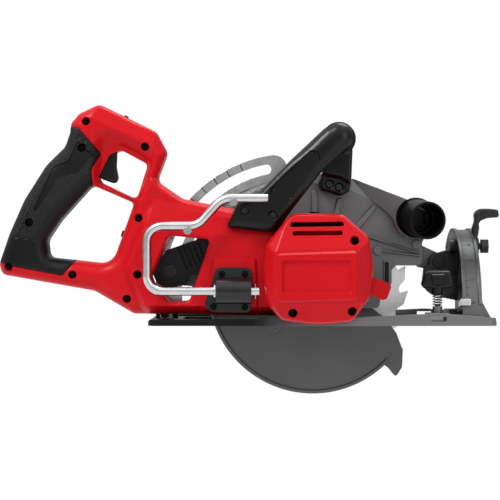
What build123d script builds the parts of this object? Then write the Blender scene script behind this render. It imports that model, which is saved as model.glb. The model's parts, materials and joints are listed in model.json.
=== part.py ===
from build123d import *
import math
import os

os.makedirs("parts", exist_ok=True)

# Sizes are millimetres. X runs forward, Z up from the shoe's underside, and Y from the
# motor side to the blade side, with Y = 0 on the housing's parting plane.

# Clearances
running_gap = 0.03
end_play = 0.2
sliding_gap = 0.35
case_gap = 0.3

# Blade and drive line
blade_radius = 92.1
blade_plane = 46.0
blade_plate = 1.2
kerf = 1.8
tooth_count = 24
gullet_depth = 9.0
tooth_profile = [(0.0, 0.0), (0.85, -0.1), (1.0, 0.08), (0.8, 0.25), (0.3, 0.45)]
tip_phase = -1.3
tip_length = 5.0
tip_width = 2.2
tip_lean = 1.0
tip_relief = 0.3
vent_count = 6
vent_circle = 58.0
vent_size = 9.0
vent_phase = 22.0
arbor_height = 32.2
arbor_radius = 7.9
spindle_radius = 6.0
flange_radius = 20.0
inner_flange_width = 5.6
outer_flange_width = 4.0
bolt_radius = 3.9
bolt_head_flats = 13.0
bolt_head_height = 5.0
bolt_collar_radius = 9.1
bolt_collar = 1.4
bolt_spare = 2.0
gear_module = 0.8
gear_teeth = 40
pinion_teeth = 10
pressure_angle = 25.0
addendum = 0.8
dedendum = 1.0
backlash = 0.2
flank_steps = 5
gear_near = 13.0
gear_width = 10.0
shaft_radius = 4.0
stub_radius = 2.2
stub_start = 12.4
journal_radius = 3.0
rotor_radius = 13.4
rotor_short = 1.0
stator_inner = 14.0
stator_outer = 27.8
stator_near = -46.0
stator_far = -14.0
coil_inner = 15.0
coil_outer = 25.8
coil_overhang = 5.0
fan_radius = 26.0
fan_near = -8.6
fan_width = 6.6
fan_blades = 12
fan_hub = 5.0
fan_plate = 1.4
fan_lean = 25.0
lock_collar_radius = 9.0
lock_collar_width = 3.0
lock_notch_depth = 3.4
lock_notches = 4
lock_pin_radius = 1.4
lock_travel = 3.0
lock_pin_gap = 0.6

# Bearings
spindle_bearing_radius = 16.0
spindle_bearing_near = 25.0
spindle_bearing_width = 10.0
needle_radius = 8.0
rotor_bearing_radius = 9.5
rear_bearing_near = 4.0
bearing_width = 6.0

# Gear case and motor
case_near = 3.0
case_far = 29.5
case_wall = 8.0
case_arbor_radius = 23.8
case_motor_radius = 33.0
boss_radius = 20.0
boss_end = 38.8
motor_bore = 28.0
motor_sleeve = 30.5
motor_near = -38.2
motor_wall = 3.0
cap_near = -76.0
cap_shoulder = -58.0
cap_far = -38.5
cap_wall = 3.0
end_bell_near = -58.0
end_bell_width = 5.8
end_bell_gap = 0.4
ear_radius = 6.0
ear_width = 7.5
case_screw_head_height = 3.0
case_screw_end = 32.1
tooth_room = 1.6
shaft_room = 1.0
ring_groove = 1.2
ring_rim = 3.0
case_screw_radius = 2.4
case_screw_head = 4.2
cap_face_x = 0.73
cap_face_z = 0.42
cap_face_drop = 6.8
vent_depth = 4.0
cap_screw_recess = 4.1
cap_boss_wall = 2.0
cap_screw_seat = 6.0
cap_screw_head = 2.8
cap_screw_grip = 12.0
cap_screw_radius = 1.6
lock_button_radius = 4.5
lock_button_height = 4.0

# Guards
wall_near = 29.5
wall_thickness = 3.0
left_wall_near = 57.5
left_wall_far = 60.0
scallop_half = 27.0
scallop_round = 25.0
lower_radius = 100.3
lower_rim = 2.8
lower_near = 35.0
lower_plate = 2.2
lower_left_near = 54.0
lower_far = 56.0
lower_left_bore = 60.0
lower_hub_radius = 27.0
guard_ring_width = 1.1
spring_ring_radius = 23.6
spring_wire = 1.1
crease_room = 0.7
shoulder_depth = 9.2
shoulder_width = 20.0
duct_height = 9.0
duct_root = 4.6
duct_start = 37.6
duct_full = 84.0
duct_end = 116.0
duct_top = 160.0
rib_height = 2.4
rib_slope = 18.0
cover_boss_radius = 4.0
blade_room = 3.0
lug_gap_to_arc = 0.8
stop_boss = (-37.2, -3.0)
stop_boss_radius = 6.4
stop_boss_height = 1.6
guard_play = 0.06

# Dust port
port_base = (97.8, 100.3)
port_drop = 3.5
port_lead = 7.6
port_reach = 35.0
port_outer = 17.6
port_inner = 15.4
port_socket = 28.0
port_throat = 13.4
port_flange = 19.0
port_flange_width = 4.0
port_root = 3.0

# Housing
handle_half = 19.5
body_right = 28.0
body_left = 10.5
wall = 3.0
grip_skin = 2.5
edge_chamfer = 4.0
screw_head_radius = 3.0
screw_head_height = 2.6
screw_seat = -12.0
screw_radius = 1.8
screw_reach = 7.5
screw_clearance = 0.2
boss_around_screw = 4.6
trigger_half = 6.0
trigger_pin_radius = 2.2
button_half = 4.0
boss_end_near = -15.0
boss_screw_end = -17.0
bay_near = -25.0
module_far = 5.0
switch_back = -230.0
switch_front = -212.5
switch_low = 138.0
switch_high = 160.0
switch_half = 8.0
switch_wall = 2.5
trigger_x = -190.0
trigger_z = 165.0
trigger_pin_half = 9.0
trigger_play = 1.0
button_x = -176.1
button_z = 192.9
button_slope = -26.1
button_length = 14.0
button_rise = 2.0
button_depth = 8.0
button_slot_depth = 12.0

# Battery socket and controller
socket_corner = (-187.0, 60.0)
socket_lean = 70.7
socket_length = 49.8
socket_plate = 15.9
socket_far = 78.0
rail_depth = 3.0
rail_width = 4.0
rail_inset = 5.0
terminal_proud = 5.0
terminal_start = 13.0
terminal_end = 37.0
terminal_near = 20.0
terminal_far = 70.0
module_back = -86.0
module_front = -56.0
module_near = -13.0
module_low = 22.0
module_high = 86.0
fin_count = 5
fin_pitch = 13.0
fin_width = 3.0

# Front handle
handle_near = -37.5
leg_far = -18.0
leg_chamfer = 1.8
bar_x = 21.5
bar_z = 171.5
bar_radius = 15.5
bar_near = -30.0
foot_near = 17.0
foot_far = 40.0
handle_seat = -33.4

# Shoe, tilting frame and depth gear
shoe_back = -153.7
shoe_front = 166.2
shoe_left = 92.0
shoe_plate = 4.0
shoe_corner = 8.0
flange_width = 4.0
opening_back = -124.0
opening_front = 98.0
opening_right = 15.0
opening_left = 76.0
bevel_height = 7.0
bevel_pin_radius = 2.5
bevel_hub_radius = 6.0
quadrant_radius = 82.0
quadrant_rim = 3.0
quadrant_back = 134.5
quadrant_front = 152.0
web_back = 146.0
web_front = 150.0
web_width = 21.0
clamp_inset = 12.0
quadrant_side = 1.0
clamp_angle = 109.5
bevel_range = 50.0
clamp_radius = 3.0
bracket_back = 138.0
bracket_inset = 6.0
bracket_rim = 18.0
pivot_x = 120.5
pivot_z = 58.0
pivot_pin_radius = 4.0
pivot_boss_radius = 8.5
pivot_boss_half = 4.6
lug_width = 6.6
depth_x = -135.5
depth_z = 49.3
depth_bolt_radius = 3.5
slot_centre_x = -21.4
slot_centre_z = 32.2
slot_radius = 116.1
slot_half = 4.7
arc_outer = 128.5
arc_inner = 103.5
arc_near = 23.0
arc_thickness = 3.0
arc_pin_x = -141.0
arc_pin_z = 9.2
arc_pin_radius = 2.4
lever_near = 12.6
lever_far = 22.4
ear_half = 6.0
ear_round = 5.0
ear_thickness = 4.6
hub_length = 11.4
hub_overhang = 6.0
rear_hub_at = -145.6
notch_room = 1.0
opening_round = 6.0
guide_block_wall = 3.0
guide_block_reach = 14.0

# Bevel quadrant and its clamp
slot_spare = 2.0
slot_room = 0.6
quadrant_dip = 1.0
quadrant_spare = 8.0
quadrant_edge = 3.0
quadrant_lip = 1.4
web_rise = 3.0
lip_rise = 9.0
gusset_width = 5.0
gusset_inset = 1.0
gusset_side = 1.6
gusset_front = 164.0
gusset_top = 24.0
foot_width = 27.0
foot_height = 4.5
bracket_core = 8.0
bracket_top = 72.0
bracket_rise = 8.0
hole_inner = 30.0
hole_start = 120.0
hole_end = 162.0
bracket_web = (-5.0, 4.0, 24.0)
bracket_lug_rim = 0.5
bracket_lug_rise = 14.0
bracket_lug_fall = 20.0
cheek_fall = 37.0
cheek_rib_height = 1.5
cheek_rib_width = 2.0
cheek_rib_back = 113.0
pin_play = 0.04
bolt_head = 4.4
bolt_head_rim = 3.4
bolt_head_gap = 1.0
trunnion_room = 0.6
arc_pin_hold = 9.0
pin_head = 2.0
pin_head_rim = 1.8
pointer_rise_angle = 8.0
pointer_width_angle = 4.0
pointer_root = 6.0
pointer_plate = 1.9
pointer_gap = 0.5
pointer_tongue = 7.0
pointer_rise = 2.0
pointer_thickness = 1.2
lever_gap = 0.6
lever_hub_radius = 9.0
lever_hub_width = 6.2
lever_boss_radius = 5.4
lever_half = 6.5
lever_plate = 4.7
lever_round = 5.0
lever_edge = 1.2
lever_rise = 36.0
lever_tab_reach = 24.0
lever_tab_height = 8.5
bevel_nut_half = 6.4
bevel_nut_width = 6.6

# Depth bracket and its clamp
slot_top_angle = 101.5
slot_low_angle = 172.6
arc_top_angle = 98.0
arc_low_angle = 189.0
arc_lug_rim = 2.3
arc_neck_low = 4.5
arc_neck_back = 7.0
arc_neck_front = 12.0
arc_neck_rise = 16.0
depth_nut_width = 3.4
depth_nut_half = 6.0
depth_head_radius = 6.5
depth_head = 4.0
lever_hub = 16.0
groove_count = 5
groove_first = (12.0, 13.0)
groove_step = (4.6, 1.5)
groove_length = 24.0
groove_width = 2.2
groove_depth = 5.0
groove_lean = -68.0

# Edge guide clamp
guide_x = 112.4
guide_inset = 12.0
guide_slot_width = 14.1
guide_slot_height = 4.7
guide_block_height = 11.5
guide_boss_radius = 4.5
guide_boss_top = 17.6
guide_screw_radius = 2.6
guide_collar_low = 28.6
knob_low = 34.0
knob_top = 50.4
knob_width = 31.0
knob_depth = 13.0
knob_draft = 3.5
knob_round = 3.0
guide_collar_radius = 5.8
guide_screw_clear = 0.5
coil_radius = 4.0
coil_wire = 1.2
coil_turns = 4
coil_samples = 60

# Rafter hook
hook_y = -42.0
hook_z = 31.8
hook_rod_radius = 4.0
hook_barrel_radius = 11.5
hook_block_plate = 4.0
peg_radius = 3.5
peg_length = 7.0
hook_barrel_back = -91.0
hook_barrel_front = -59.0
hook_web_half = 9.0
hook_end = -51.7
collar_radius = 6.5
collar_width = 1.7
cross_pin_x = -55.2
cross_pin_radius = 1.2
cross_pin_half = 6.5

# Work light
light_near = -36.0
light_far = -14.0
lens_near = -31.0
lens_far = -19.0

motor_height = arbor_height + gear_module * (gear_teeth + pinion_teeth) / 2
blade_near = blade_plane - blade_plate / 2
blade_far = blade_plane + blade_plate / 2
guard_inner = wall_near + wall_thickness
crease_radius = lower_radius + crease_room
ring_near = lower_near + lower_plate + sliding_gap
ring_far = ring_near + guard_ring_width
web_radius = quadrant_radius - web_width
clamp_circle = quadrant_radius - clamp_inset
bracket_radius = quadrant_radius - bracket_inset
shoe_right = blade_plane - quadrant_radius - quadrant_side
guide_y = shoe_right + guide_inset


def side(y):
    return Plane.XZ.offset(-y)


# A block with a rounded outline in X and Z, from one Y to another
def prism(corners, near, far, mode=Mode.ADD, holes=(), shrink=0.0):
    with BuildSketch(side(far)) as outline:
        with BuildLine():
            FilletPolyline(*[(x, z) for x, z, r in corners], radius=[r for x, z, r in corners], close=True)
        make_face()
        for hole in holes:
            with BuildLine():
                FilletPolyline(*[(x, z) for x, z, r in hole], radius=[r for x, z, r in hole], close=True)
            make_face(mode=Mode.SUBTRACT)
        if shrink:
            offset(amount=-shrink, kind=Kind.INTERSECTION)
    extrude(outline.sketch, amount=far - near, mode=mode)


# A round bar along Y
def rod(x, z, radius, near, far, mode=Mode.ADD):
    with BuildSketch(side(far)) as disc:
        with Locations((x, z)):
            Circle(radius)
    extrude(disc.sketch, amount=far - near, mode=mode)


# A ring along Y
def ring(x, z, inner, outer, near, far, mode=Mode.ADD):
    with BuildSketch(side(far)) as band:
        with Locations((x, z)):
            Circle(outer)
            Circle(inner, mode=Mode.SUBTRACT)
    extrude(band.sketch, amount=far - near, mode=mode)


# A block with a rounded outline in Y and Z, from one X to another
def across(corners, back, front, mode=Mode.ADD):
    with BuildSketch(Plane.YZ.offset(back)) as outline:
        with BuildLine():
            FilletPolyline(*[(y, z) for y, z, r in corners], radius=[r for y, z, r in corners], close=True)
        make_face()
    extrude(outline.sketch, amount=front - back, mode=mode)


# A round bar along X
def bar(y, z, radius, back, front, mode=Mode.ADD):
    with BuildSketch(Plane.YZ.offset(back)) as disc:
        with Locations((y, z)):
            Circle(radius)
    extrude(disc.sketch, amount=front - back, mode=mode)


# A round post along Z
def post(x, y, radius, low, high, mode=Mode.ADD):
    with BuildSketch(Plane.XY.offset(low)) as disc:
        with Locations((x, y)):
            Circle(radius)
    extrude(disc.sketch, amount=high - low, mode=mode)


# A box between two corners
def block(x0, x1, y0, y1, z0, z1, mode=Mode.ADD):
    with BuildSketch(Plane.XY.offset(z0)) as base:
        with Locations(((x0 + x1) / 2, (y0 + y1) / 2)):
            Rectangle(x1 - x0, y1 - y0)
    extrude(base.sketch, amount=z1 - z0, mode=mode)


# A ring sector about the bevel axis, with angles from +Y towards +Z
def bevel_sector(inner, outer, start, end, back, front, mode=Mode.ADD):
    with BuildSketch(Plane.YZ.offset(back)) as sector:
        with BuildLine():
            rim = CenterArc((blade_plane, bevel_height), outer, start, end - start)
            core = CenterArc((blade_plane, bevel_height), inner, start, end - start)
            Line(rim @ 0, core @ 0)
            Line(rim @ 1, core @ 1)
        make_face()
    extrude(sector.sketch, amount=front - back, mode=mode)


# A ring sector in X and Z, with angles from +X towards +Z
def arc_sector(cx, cz, inner, outer, start, end, near, far, mode=Mode.ADD):
    with BuildSketch(side(far)) as sector:
        with BuildLine():
            rim = CenterArc((cx, cz), outer, start, end - start)
            core = CenterArc((cx, cz), inner, start, end - start)
            Line(rim @ 0, core @ 0)
            Line(rim @ 1, core @ 1)
        make_face()
    extrude(sector.sketch, amount=far - near, mode=mode)


def polar(radius, degrees, cx=0.0, cz=0.0):
    return cx + radius * math.cos(math.radians(degrees)), cz + radius * math.sin(math.radians(degrees))


# The outline of an involute gear with a tooth on +X, thinned by half the backlash
def gear_points(teeth):
    pitch = gear_module * teeth / 2
    base = pitch * math.cos(math.radians(pressure_angle))
    tip = pitch + addendum * gear_module
    root = pitch - dedendum * gear_module
    flat = math.tan(math.radians(pressure_angle)) - math.radians(pressure_angle)
    half = math.pi / (2 * teeth) - backlash / (4 * pitch)
    low = max(base, root)
    flank = [(root, half + flat)] if root < base else []
    for i in range(flank_steps + 1):
        r = low + (tip - low) * i / flank_steps
        roll = math.sqrt(max((r / base) ** 2 - 1, 0))
        flank.append((r, half + flat - (roll - math.atan(roll))))
    points = []
    for k in range(teeth):
        centre = 2 * math.pi * k / teeth
        points += [(r * math.cos(centre - a), r * math.sin(centre - a)) for r, a in flank]
        points += [(r * math.cos(centre + a), r * math.sin(centre + a)) for r, a in reversed(flank)]
    return points


# Blade side: spindle, flanges, blade and bolt turn together
with BuildPart() as spindle:
    rod(0, arbor_height, spindle_radius, rear_bearing_near + end_play, blade_far - end_play)
    rod(0, arbor_height, arbor_radius, gear_near + gear_width, spindle_bearing_near - end_play)
    shoulder = blade_near - inner_flange_width
    rod(0, arbor_height, arbor_radius, spindle_bearing_near + spindle_bearing_width + end_play, shoulder)
    rod(0, arbor_height, bolt_radius, spindle_bearing_near, blade_far, Mode.SUBTRACT)

with BuildPart() as drive_gear:
    with BuildSketch(side(gear_near + gear_width)) as teeth:
        with BuildLine():
            Polyline(*[(x, z + arbor_height) for x, z in gear_points(gear_teeth)], close=True)
        make_face()
        with Locations((0, arbor_height)):
            Circle(spindle_radius, mode=Mode.SUBTRACT)
    extrude(teeth.sketch, amount=gear_width)

with BuildPart() as inner_flange:
    ring(0, arbor_height, spindle_radius, flange_radius, blade_near - inner_flange_width, blade_near)
    ring(0, arbor_height, spindle_radius, arbor_radius, blade_near, blade_far - end_play)

with BuildPart() as blade:
    with BuildSketch(side(blade_far)) as disc:
        with BuildLine():
            rim = []
            pitch = 360 / tooth_count
            for k in range(tooth_count):
                for depth, turn in tooth_profile:
                    angle = tip_phase + (k + turn) * pitch
                    rim.append(polar(blade_radius - gullet_depth * depth, angle, 0, arbor_height))
            Polyline(*rim, close=True)
        make_face()
        with Locations((0, arbor_height)):
            Circle(arbor_radius + running_gap, mode=Mode.SUBTRACT)
        for k in range(vent_count):
            angle = 360 * k / vent_count + vent_phase
            spot = polar(vent_circle, angle, 0, arbor_height)
            with Locations(Location((spot[0], spot[1], 0), angle)):
                RegularPolygon(vent_size, 3, mode=Mode.SUBTRACT)
    extrude(disc.sketch, amount=blade_plate)
    for k in range(tooth_count):
        a = tip_phase + k * 360 / tooth_count
        tip = [polar(blade_radius, a, 0, arbor_height)]
        tip.append(polar(blade_radius - tip_length, a - tip_lean, 0, arbor_height))
        turn = math.degrees(tip_width / blade_radius)
        tip.append(polar(blade_radius - tip_length, a - tip_lean - turn, 0, arbor_height))
        tip.append(polar(blade_radius - tip_relief, a - turn, 0, arbor_height))
        with BuildSketch(side(blade_plane + kerf / 2)) as carbide:
            with BuildLine():
                Polyline(*tip, close=True)
            make_face()
        extrude(carbide.sketch, amount=kerf)

with BuildPart() as outer_flange:
    ring(0, arbor_height, bolt_radius, flange_radius, blade_far, blade_far + outer_flange_width)

head_near = blade_far + outer_flange_width
with BuildPart() as blade_bolt:
    rod(0, arbor_height, bolt_radius, spindle_bearing_near + bolt_spare, head_near)
    rod(0, arbor_height, bolt_collar_radius, head_near, head_near + bolt_collar)
    with BuildSketch(side(head_near + bolt_collar + bolt_head_height)) as hexagon:
        with Locations((0, arbor_height)):
            RegularPolygon(bolt_head_flats / 2, 6, major_radius=False)
    extrude(hexagon.sketch, amount=bolt_head_height)

# Rotor, geared to the spindle above it
rear_journal = end_bell_near + case_gap
with BuildPart() as rotor_shaft:
    rod(0, motor_height, shaft_radius, end_bell_near + end_bell_width + end_play, stub_start)
    rod(0, motor_height, journal_radius, rear_journal, end_bell_near + end_bell_width + end_play)
    rod(0, motor_height, stub_radius, stub_start, gear_near + gear_width + end_play)
    rod(0, motor_height, lock_collar_radius, -lock_collar_width / 2, lock_collar_width / 2)
    for k in range(lock_notches):
        angle = 360 * k / lock_notches
        x, z = polar(lock_collar_radius, angle)
        half = lock_pin_radius + sliding_gap
        with BuildSketch(side(lock_collar_width)) as notch:
            with Locations(Location((x, z + motor_height, 0), angle)):
                Rectangle(lock_notch_depth * 2, half * 2)
        extrude(notch.sketch, amount=lock_collar_width * 2, mode=Mode.SUBTRACT)

with BuildPart() as rotor_core:
    ring(0, motor_height, shaft_radius, rotor_radius, stator_near + rotor_short, stator_far - rotor_short)

with BuildPart() as fan:
    hub = shaft_radius + fan_hub
    ring(0, motor_height, shaft_radius, hub, fan_near, fan_near + fan_width)
    ring(0, motor_height, shaft_radius, fan_radius, fan_near + fan_width - fan_plate, fan_near + fan_width)
    for k in range(fan_blades):
        with BuildSketch(side(fan_near + fan_width)) as vane:
            angle = 360 * k / fan_blades
            mid = polar((fan_radius + hub) / 2, angle)
            with Locations(Location((mid[0], mid[1] + motor_height, 0), angle + fan_lean)):
                Rectangle(fan_radius - hub - fan_plate, fan_plate)
        extrude(vane.sketch, amount=fan_width)

with BuildPart() as pinion:
    with BuildSketch(side(gear_near + gear_width)) as teeth:
        with BuildLine():
            Polyline(*[(x, z + motor_height) for x, z in gear_points(pinion_teeth)], close=True)
        make_face()
        with Locations((0, motor_height)):
            Circle(stub_radius, mode=Mode.SUBTRACT)
    extrude(teeth.sketch, amount=gear_width)

# Bearings, two rings in each node
front_bearing_far = spindle_bearing_near + spindle_bearing_width
with BuildPart() as spindle_bearings:
    bore = spindle_radius + running_gap
    ring(0, arbor_height, bore, spindle_bearing_radius, spindle_bearing_near, front_bearing_far)
    ring(0, arbor_height, bore, needle_radius, rear_bearing_near, rear_bearing_near + bearing_width)

with BuildPart() as rotor_bearings:
    bore = shaft_radius + running_gap
    ring(0, motor_height, bore, rotor_bearing_radius, rear_bearing_near, rear_bearing_near + bearing_width)
    bore = journal_radius + running_gap
    ring(0, motor_height, bore, rotor_bearing_radius, end_bell_near, end_bell_near + end_bell_width)

with BuildPart() as stator_core:
    ring(0, motor_height, stator_inner, stator_outer, stator_near, stator_far)

with BuildPart() as stator_coils:
    ring(0, motor_height, coil_inner, coil_outer, stator_near - coil_overhang, stator_near)
    ring(0, motor_height, coil_inner, coil_outer, stator_far, stator_far + coil_overhang - end_play)

with BuildPart() as end_bell:
    ring(0, motor_height, rotor_bearing_radius, stator_outer, end_bell_near, end_bell_near + end_bell_width)
    ring(0, motor_height, coil_outer + end_bell_gap, stator_outer, end_bell_near, stator_near)

# Gear case, with the boss that carries the spindle bearing and the lower guard
case_ears = [(-27.0, 20.0), (27.0, 20.0), (-33.5, 72.0), (33.5, 72.0)]
with BuildPart() as gear_case:
    rod(0, arbor_height, case_arbor_radius, case_near, case_far)
    rod(0, motor_height, case_motor_radius, case_near, case_far)
    for x, z in case_ears:
        rod(x, z, ear_radius, case_far - ear_width, case_far)
    rod(0, arbor_height, boss_radius, case_far, boss_end)
    cavity_near = case_near + case_wall
    cavity_far = spindle_bearing_near - shaft_room
    tip = gear_module * gear_teeth / 2 + gear_module
    rod(0, arbor_height, tip + tooth_room, cavity_near, cavity_far, Mode.SUBTRACT)
    bearing_far = rear_bearing_near + bearing_width
    rod(0, motor_height, rotor_bearing_radius, rear_bearing_near, bearing_far, Mode.SUBTRACT)
    rod(0, motor_height, rotor_bearing_radius, cavity_near, cavity_far, Mode.SUBTRACT)
    rod(0, motor_height, shaft_radius + shaft_room, case_near, cavity_near, Mode.SUBTRACT)
    rod(0, arbor_height, needle_radius, rear_bearing_near, cavity_near, Mode.SUBTRACT)
    rod(0, arbor_height, spindle_bearing_radius, spindle_bearing_near, front_bearing_far, Mode.SUBTRACT)
    rod(0, arbor_height, arbor_radius + shaft_room, cavity_far, boss_end, Mode.SUBTRACT)
    groove = boss_radius - ring_groove
    ring(0, arbor_height, groove, boss_radius + ring_rim, ring_near, ring_far, Mode.SUBTRACT)
    for x, z in case_ears:
        rod(x, z, case_screw_radius, case_far - ear_width, case_far, Mode.SUBTRACT)

with BuildPart() as gear_case_screws:
    for x, z in case_ears:
        rod(x, z, case_screw_radius, case_far - ear_width, case_screw_end)
        rod(x, z, case_screw_head, case_far - ear_width - case_screw_head_height, case_far - ear_width)

with BuildPart() as guard_ring:
    ring(0, arbor_height, boss_radius - ring_groove, boss_radius + ring_rim, ring_near, ring_far)

with BuildPart() as guard_spring:
    spring_y = (guard_inner + lower_near) / 2
    with BuildSketch(Plane.XY.offset(arbor_height)) as wire:
        with Locations((spring_ring_radius, spring_y)):
            Circle(spring_wire / 2)
    revolve(wire.sketch, axis=Axis((0, 0, arbor_height), (0, 1, 0)))

# Motor sleeve and end cap; the outline is taken about the motor axis
cap_outline = [
    (-19.3, 50.4, 8), (23.3, 49.8, 10), (47.5, 29.5, 12), (51.5, 1.8, 60), (48.6, -25.2, 14),
    (32.5, -47.4, 8), (0.9, -50.9, 120), (-31.5, -46.4, 8), (-44.7, -32.4, 12), (-48.7, -7.0, 50),
    (-46.1, 21.8, 14), (-26.6, 45.7, 12),
]
cap_corners = [(x, z + motor_height, r) for x, z, r in cap_outline]
sleeve_outline = [
    (-18.5, 48.2, 8), (22.3, 47.6, 10), (45.4, 28.3, 12), (49.3, 1.8, 60), (46.4, -24.2, 14),
    (34.0, -41.7, 6), (-34.0, -41.7, 6), (-42.6, -31.4, 8), (-46.5, -7.0, 40), (-44.0, 20.8, 14),
    (-25.6, 43.5, 10),
]
sleeve_corners = [(x, z + motor_height, r) for x, z, r in sleeve_outline]
vent_slots = [(22.6, 29.6, 34.3), (24.2, 38.4, 42.0)]
cap_face = [(x * cap_face_x, z * cap_face_z + motor_height - cap_face_drop, 0) for x, z, r in cap_outline]
cap_screws_at = [(33.5, 77.8), (-21.8, 12.9), (31.5, 14.4)]
lock_button_low = motor_height + 48.9

with BuildPart() as motor_case:
    prism(sleeve_corners, motor_near, case_near)
    rod(0, motor_height, motor_bore, motor_near, case_near, Mode.SUBTRACT)
    with BuildSketch(side(-lock_collar_width)) as room:
        with BuildLine():
            FilletPolyline(
                *[(x, z) for x, z, r in sleeve_corners], radius=[r for x, z, r in sleeve_corners], close=True
            )
        make_face()
        offset(amount=-motor_wall, kind=Kind.INTERSECTION)
        with Locations((0, motor_height)):
            Circle(motor_sleeve, mode=Mode.SUBTRACT)
        for x, z in cap_screws_at:
            with Locations((x, z)):
                Circle(cap_screw_radius + motor_wall, mode=Mode.SUBTRACT)
    extrude(room.sketch, amount=-lock_collar_width - motor_near, mode=Mode.SUBTRACT)
    for x, z in cap_screws_at:
        rod(x, z, cap_screw_radius, motor_near, motor_near + cap_screw_grip, Mode.SUBTRACT)
    post(0, 0, lock_pin_radius + sliding_gap, motor_height, lock_button_low, Mode.SUBTRACT)
    recess = lock_button_low - lock_travel - sliding_gap
    post(0, 0, lock_button_radius + sliding_gap, recess, lock_button_low + lock_button_height, Mode.SUBTRACT)

with BuildPart() as motor_cap:
    prism(cap_corners, cap_shoulder, cap_far)
    with BuildSketch(side(cap_shoulder)) as shoulder_face:
        with BuildLine():
            Polyline(*[(x, z) for x, z, r in cap_corners], close=True)
        make_face()
    with BuildSketch(side(cap_near)) as end_face:
        with BuildLine():
            Polyline(*[(x, z) for x, z, r in cap_face], close=True)
        make_face()
    loft([shoulder_face.sketch.face(), end_face.sketch.face()], ruled=True)
    prism(cap_corners, cap_shoulder, cap_far, Mode.SUBTRACT, shrink=cap_wall)
    prism(cap_face, cap_near + cap_wall, cap_shoulder, Mode.SUBTRACT, shrink=cap_wall)
    for x, z in cap_screws_at:
        rod(x, z, cap_screw_recess + cap_boss_wall, cap_shoulder, cap_far)
        rod(x, z, cap_screw_recess, cap_near, cap_shoulder + cap_screw_seat, Mode.SUBTRACT)
        rod(x, z, cap_screw_radius, cap_shoulder, cap_far, Mode.SUBTRACT)
    for half, low, high in vent_slots:
        floor = cap_shoulder + vent_depth
        block(-half, half, cap_near, floor, motor_height + low, motor_height + high, Mode.SUBTRACT)

with BuildPart() as cap_screws:
    for x, z in cap_screws_at:
        seat = cap_shoulder + cap_screw_seat
        rod(x, z, cap_screw_radius, seat, motor_near + cap_screw_grip)
        rod(x, z, cap_screw_recess - case_gap, seat - cap_screw_head, seat)

with BuildPart() as spindle_lock:
    tip_low = motor_height + lock_collar_radius + lock_pin_gap
    post(0, 0, lock_pin_radius, tip_low, lock_button_low)
    post(0, 0, lock_button_radius, lock_button_low, lock_button_low + lock_button_height)


# Upper guard; the outline is taken about the arbor
guard_outline = [
    (-113.0, -18.2, 4), (-118.0, 26.0, 40), (-105.0, 66.0, 30), (-79.5, 91.0, 60), (-39.7, 106.0, 80),
    (0.0, 111.4, 80), (37.7, 106.0, 40), (93.0, 83.8, 8), (111.0, 76.0, 8), (112.5, 60.0, 8),
    (104.0, 44.0, 6), (104.0, 22.4, 4), (79.0, 22.4, 2), (74.3, 17.5, 2), (74.3, 3.8, 1.5),
    (66.6, 3.8, 1.5), (63.0, -18.2, 4),
]
guard_hollow = [
    (-110.0, -60.0, 2), (-114.8, 26.0, 37), (-102.4, 64.6, 27), (-78.2, 88.1, 57), (-39.1, 102.9, 77),
    (0.0, 108.3, 77), (37.1, 102.9, 37), (91.6, 81.1, 5), (108.4, 73.8, 5), (109.4, 60.6, 5),
    (101.0, 44.8, 3), (101.0, 25.4, 2), (80.0, 25.4, 2), (80.0, -60.0, 2),
]
duct_outline = [
    (36.0, 94.4, 0), (59.5, 85.4, 98), (76.0, 66.5, 0), (79.6, 56.0, 6), (88.0, 49.0, 6), (106.0, 48.4, 2),
    (112.1, 60.0, 8), (110.7, 75.8, 8), (93.0, 83.5, 8), (38.6, 105.3, 0),
]
guard_ribs = [  # from, to, width
    (1.3, 91.6, 1.3, 70.0, 5.6), (25.2, 84.0, 21.8, 70.0, 5.6), (57.5, 77.4, 41.5, 58.7, 5.6),
    (53.3, 49.6, 100.6, 34.3, 2.6), (61.4, 36.7, 100.6, 32.0, 2.6),
]
shoulder_region = [
    (0.0, 40.0, 0), (-77.4, 64.9, 0), (-140.0, 117.5, 0), (-60.0, 160.0, 0), (60.0, 160.0, 0),
    (60.0, 40.0, 0),
]
cover_bosses_at = [(61.4, 36.7), (98.6, 42.6)]
lug_outline = [(-104.0, 50.0, 6), (-138.0, 30.0, 8), (-148.0, 16.0, 9), (-138.0, 4.5, 8), (-106.0, 2.0, 6)]
lug_near = arc_near + arc_thickness + lug_gap_to_arc
arm_outline = [(100.0, 44.0, 3), (120.5, 34.4, 4), (129.0, 26.0, 6), (120.5, 17.2, 4), (100.0, 21.0, 3)]
foot_screws_at = [(15.0, 131.6), (24.0, 128.8)]


def about_arbor(corners):
    return [(x, z + arbor_height, r) for x, z, r in corners]


# What the sloping shoulder takes off the guard's top, outside the sweep of the lower guard
def shoulder_cut(near):
    low = arbor_height + crease_radius
    with BuildSketch(Plane.YZ) as section:
        with BuildLine():
            high = low + shoulder_width
            Polyline((near, low), (near, high), (near + shoulder_depth, high), close=True)
        make_face()
    revolve(section.sketch, axis=Axis((0, 0, arbor_height), (0, 1, 0)))
    prism(about_arbor(shoulder_region), near, near + shoulder_depth, Mode.INTERSECT)


with BuildPart() as guard_shoulder:
    shoulder_cut(wall_near)

with BuildPart() as room_shoulder:
    shoulder_cut(guard_inner)

with BuildPart() as guard_room:
    prism(about_arbor(guard_hollow), guard_inner, left_wall_near)
    add(room_shoulder.part, mode=Mode.SUBTRACT)

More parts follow.
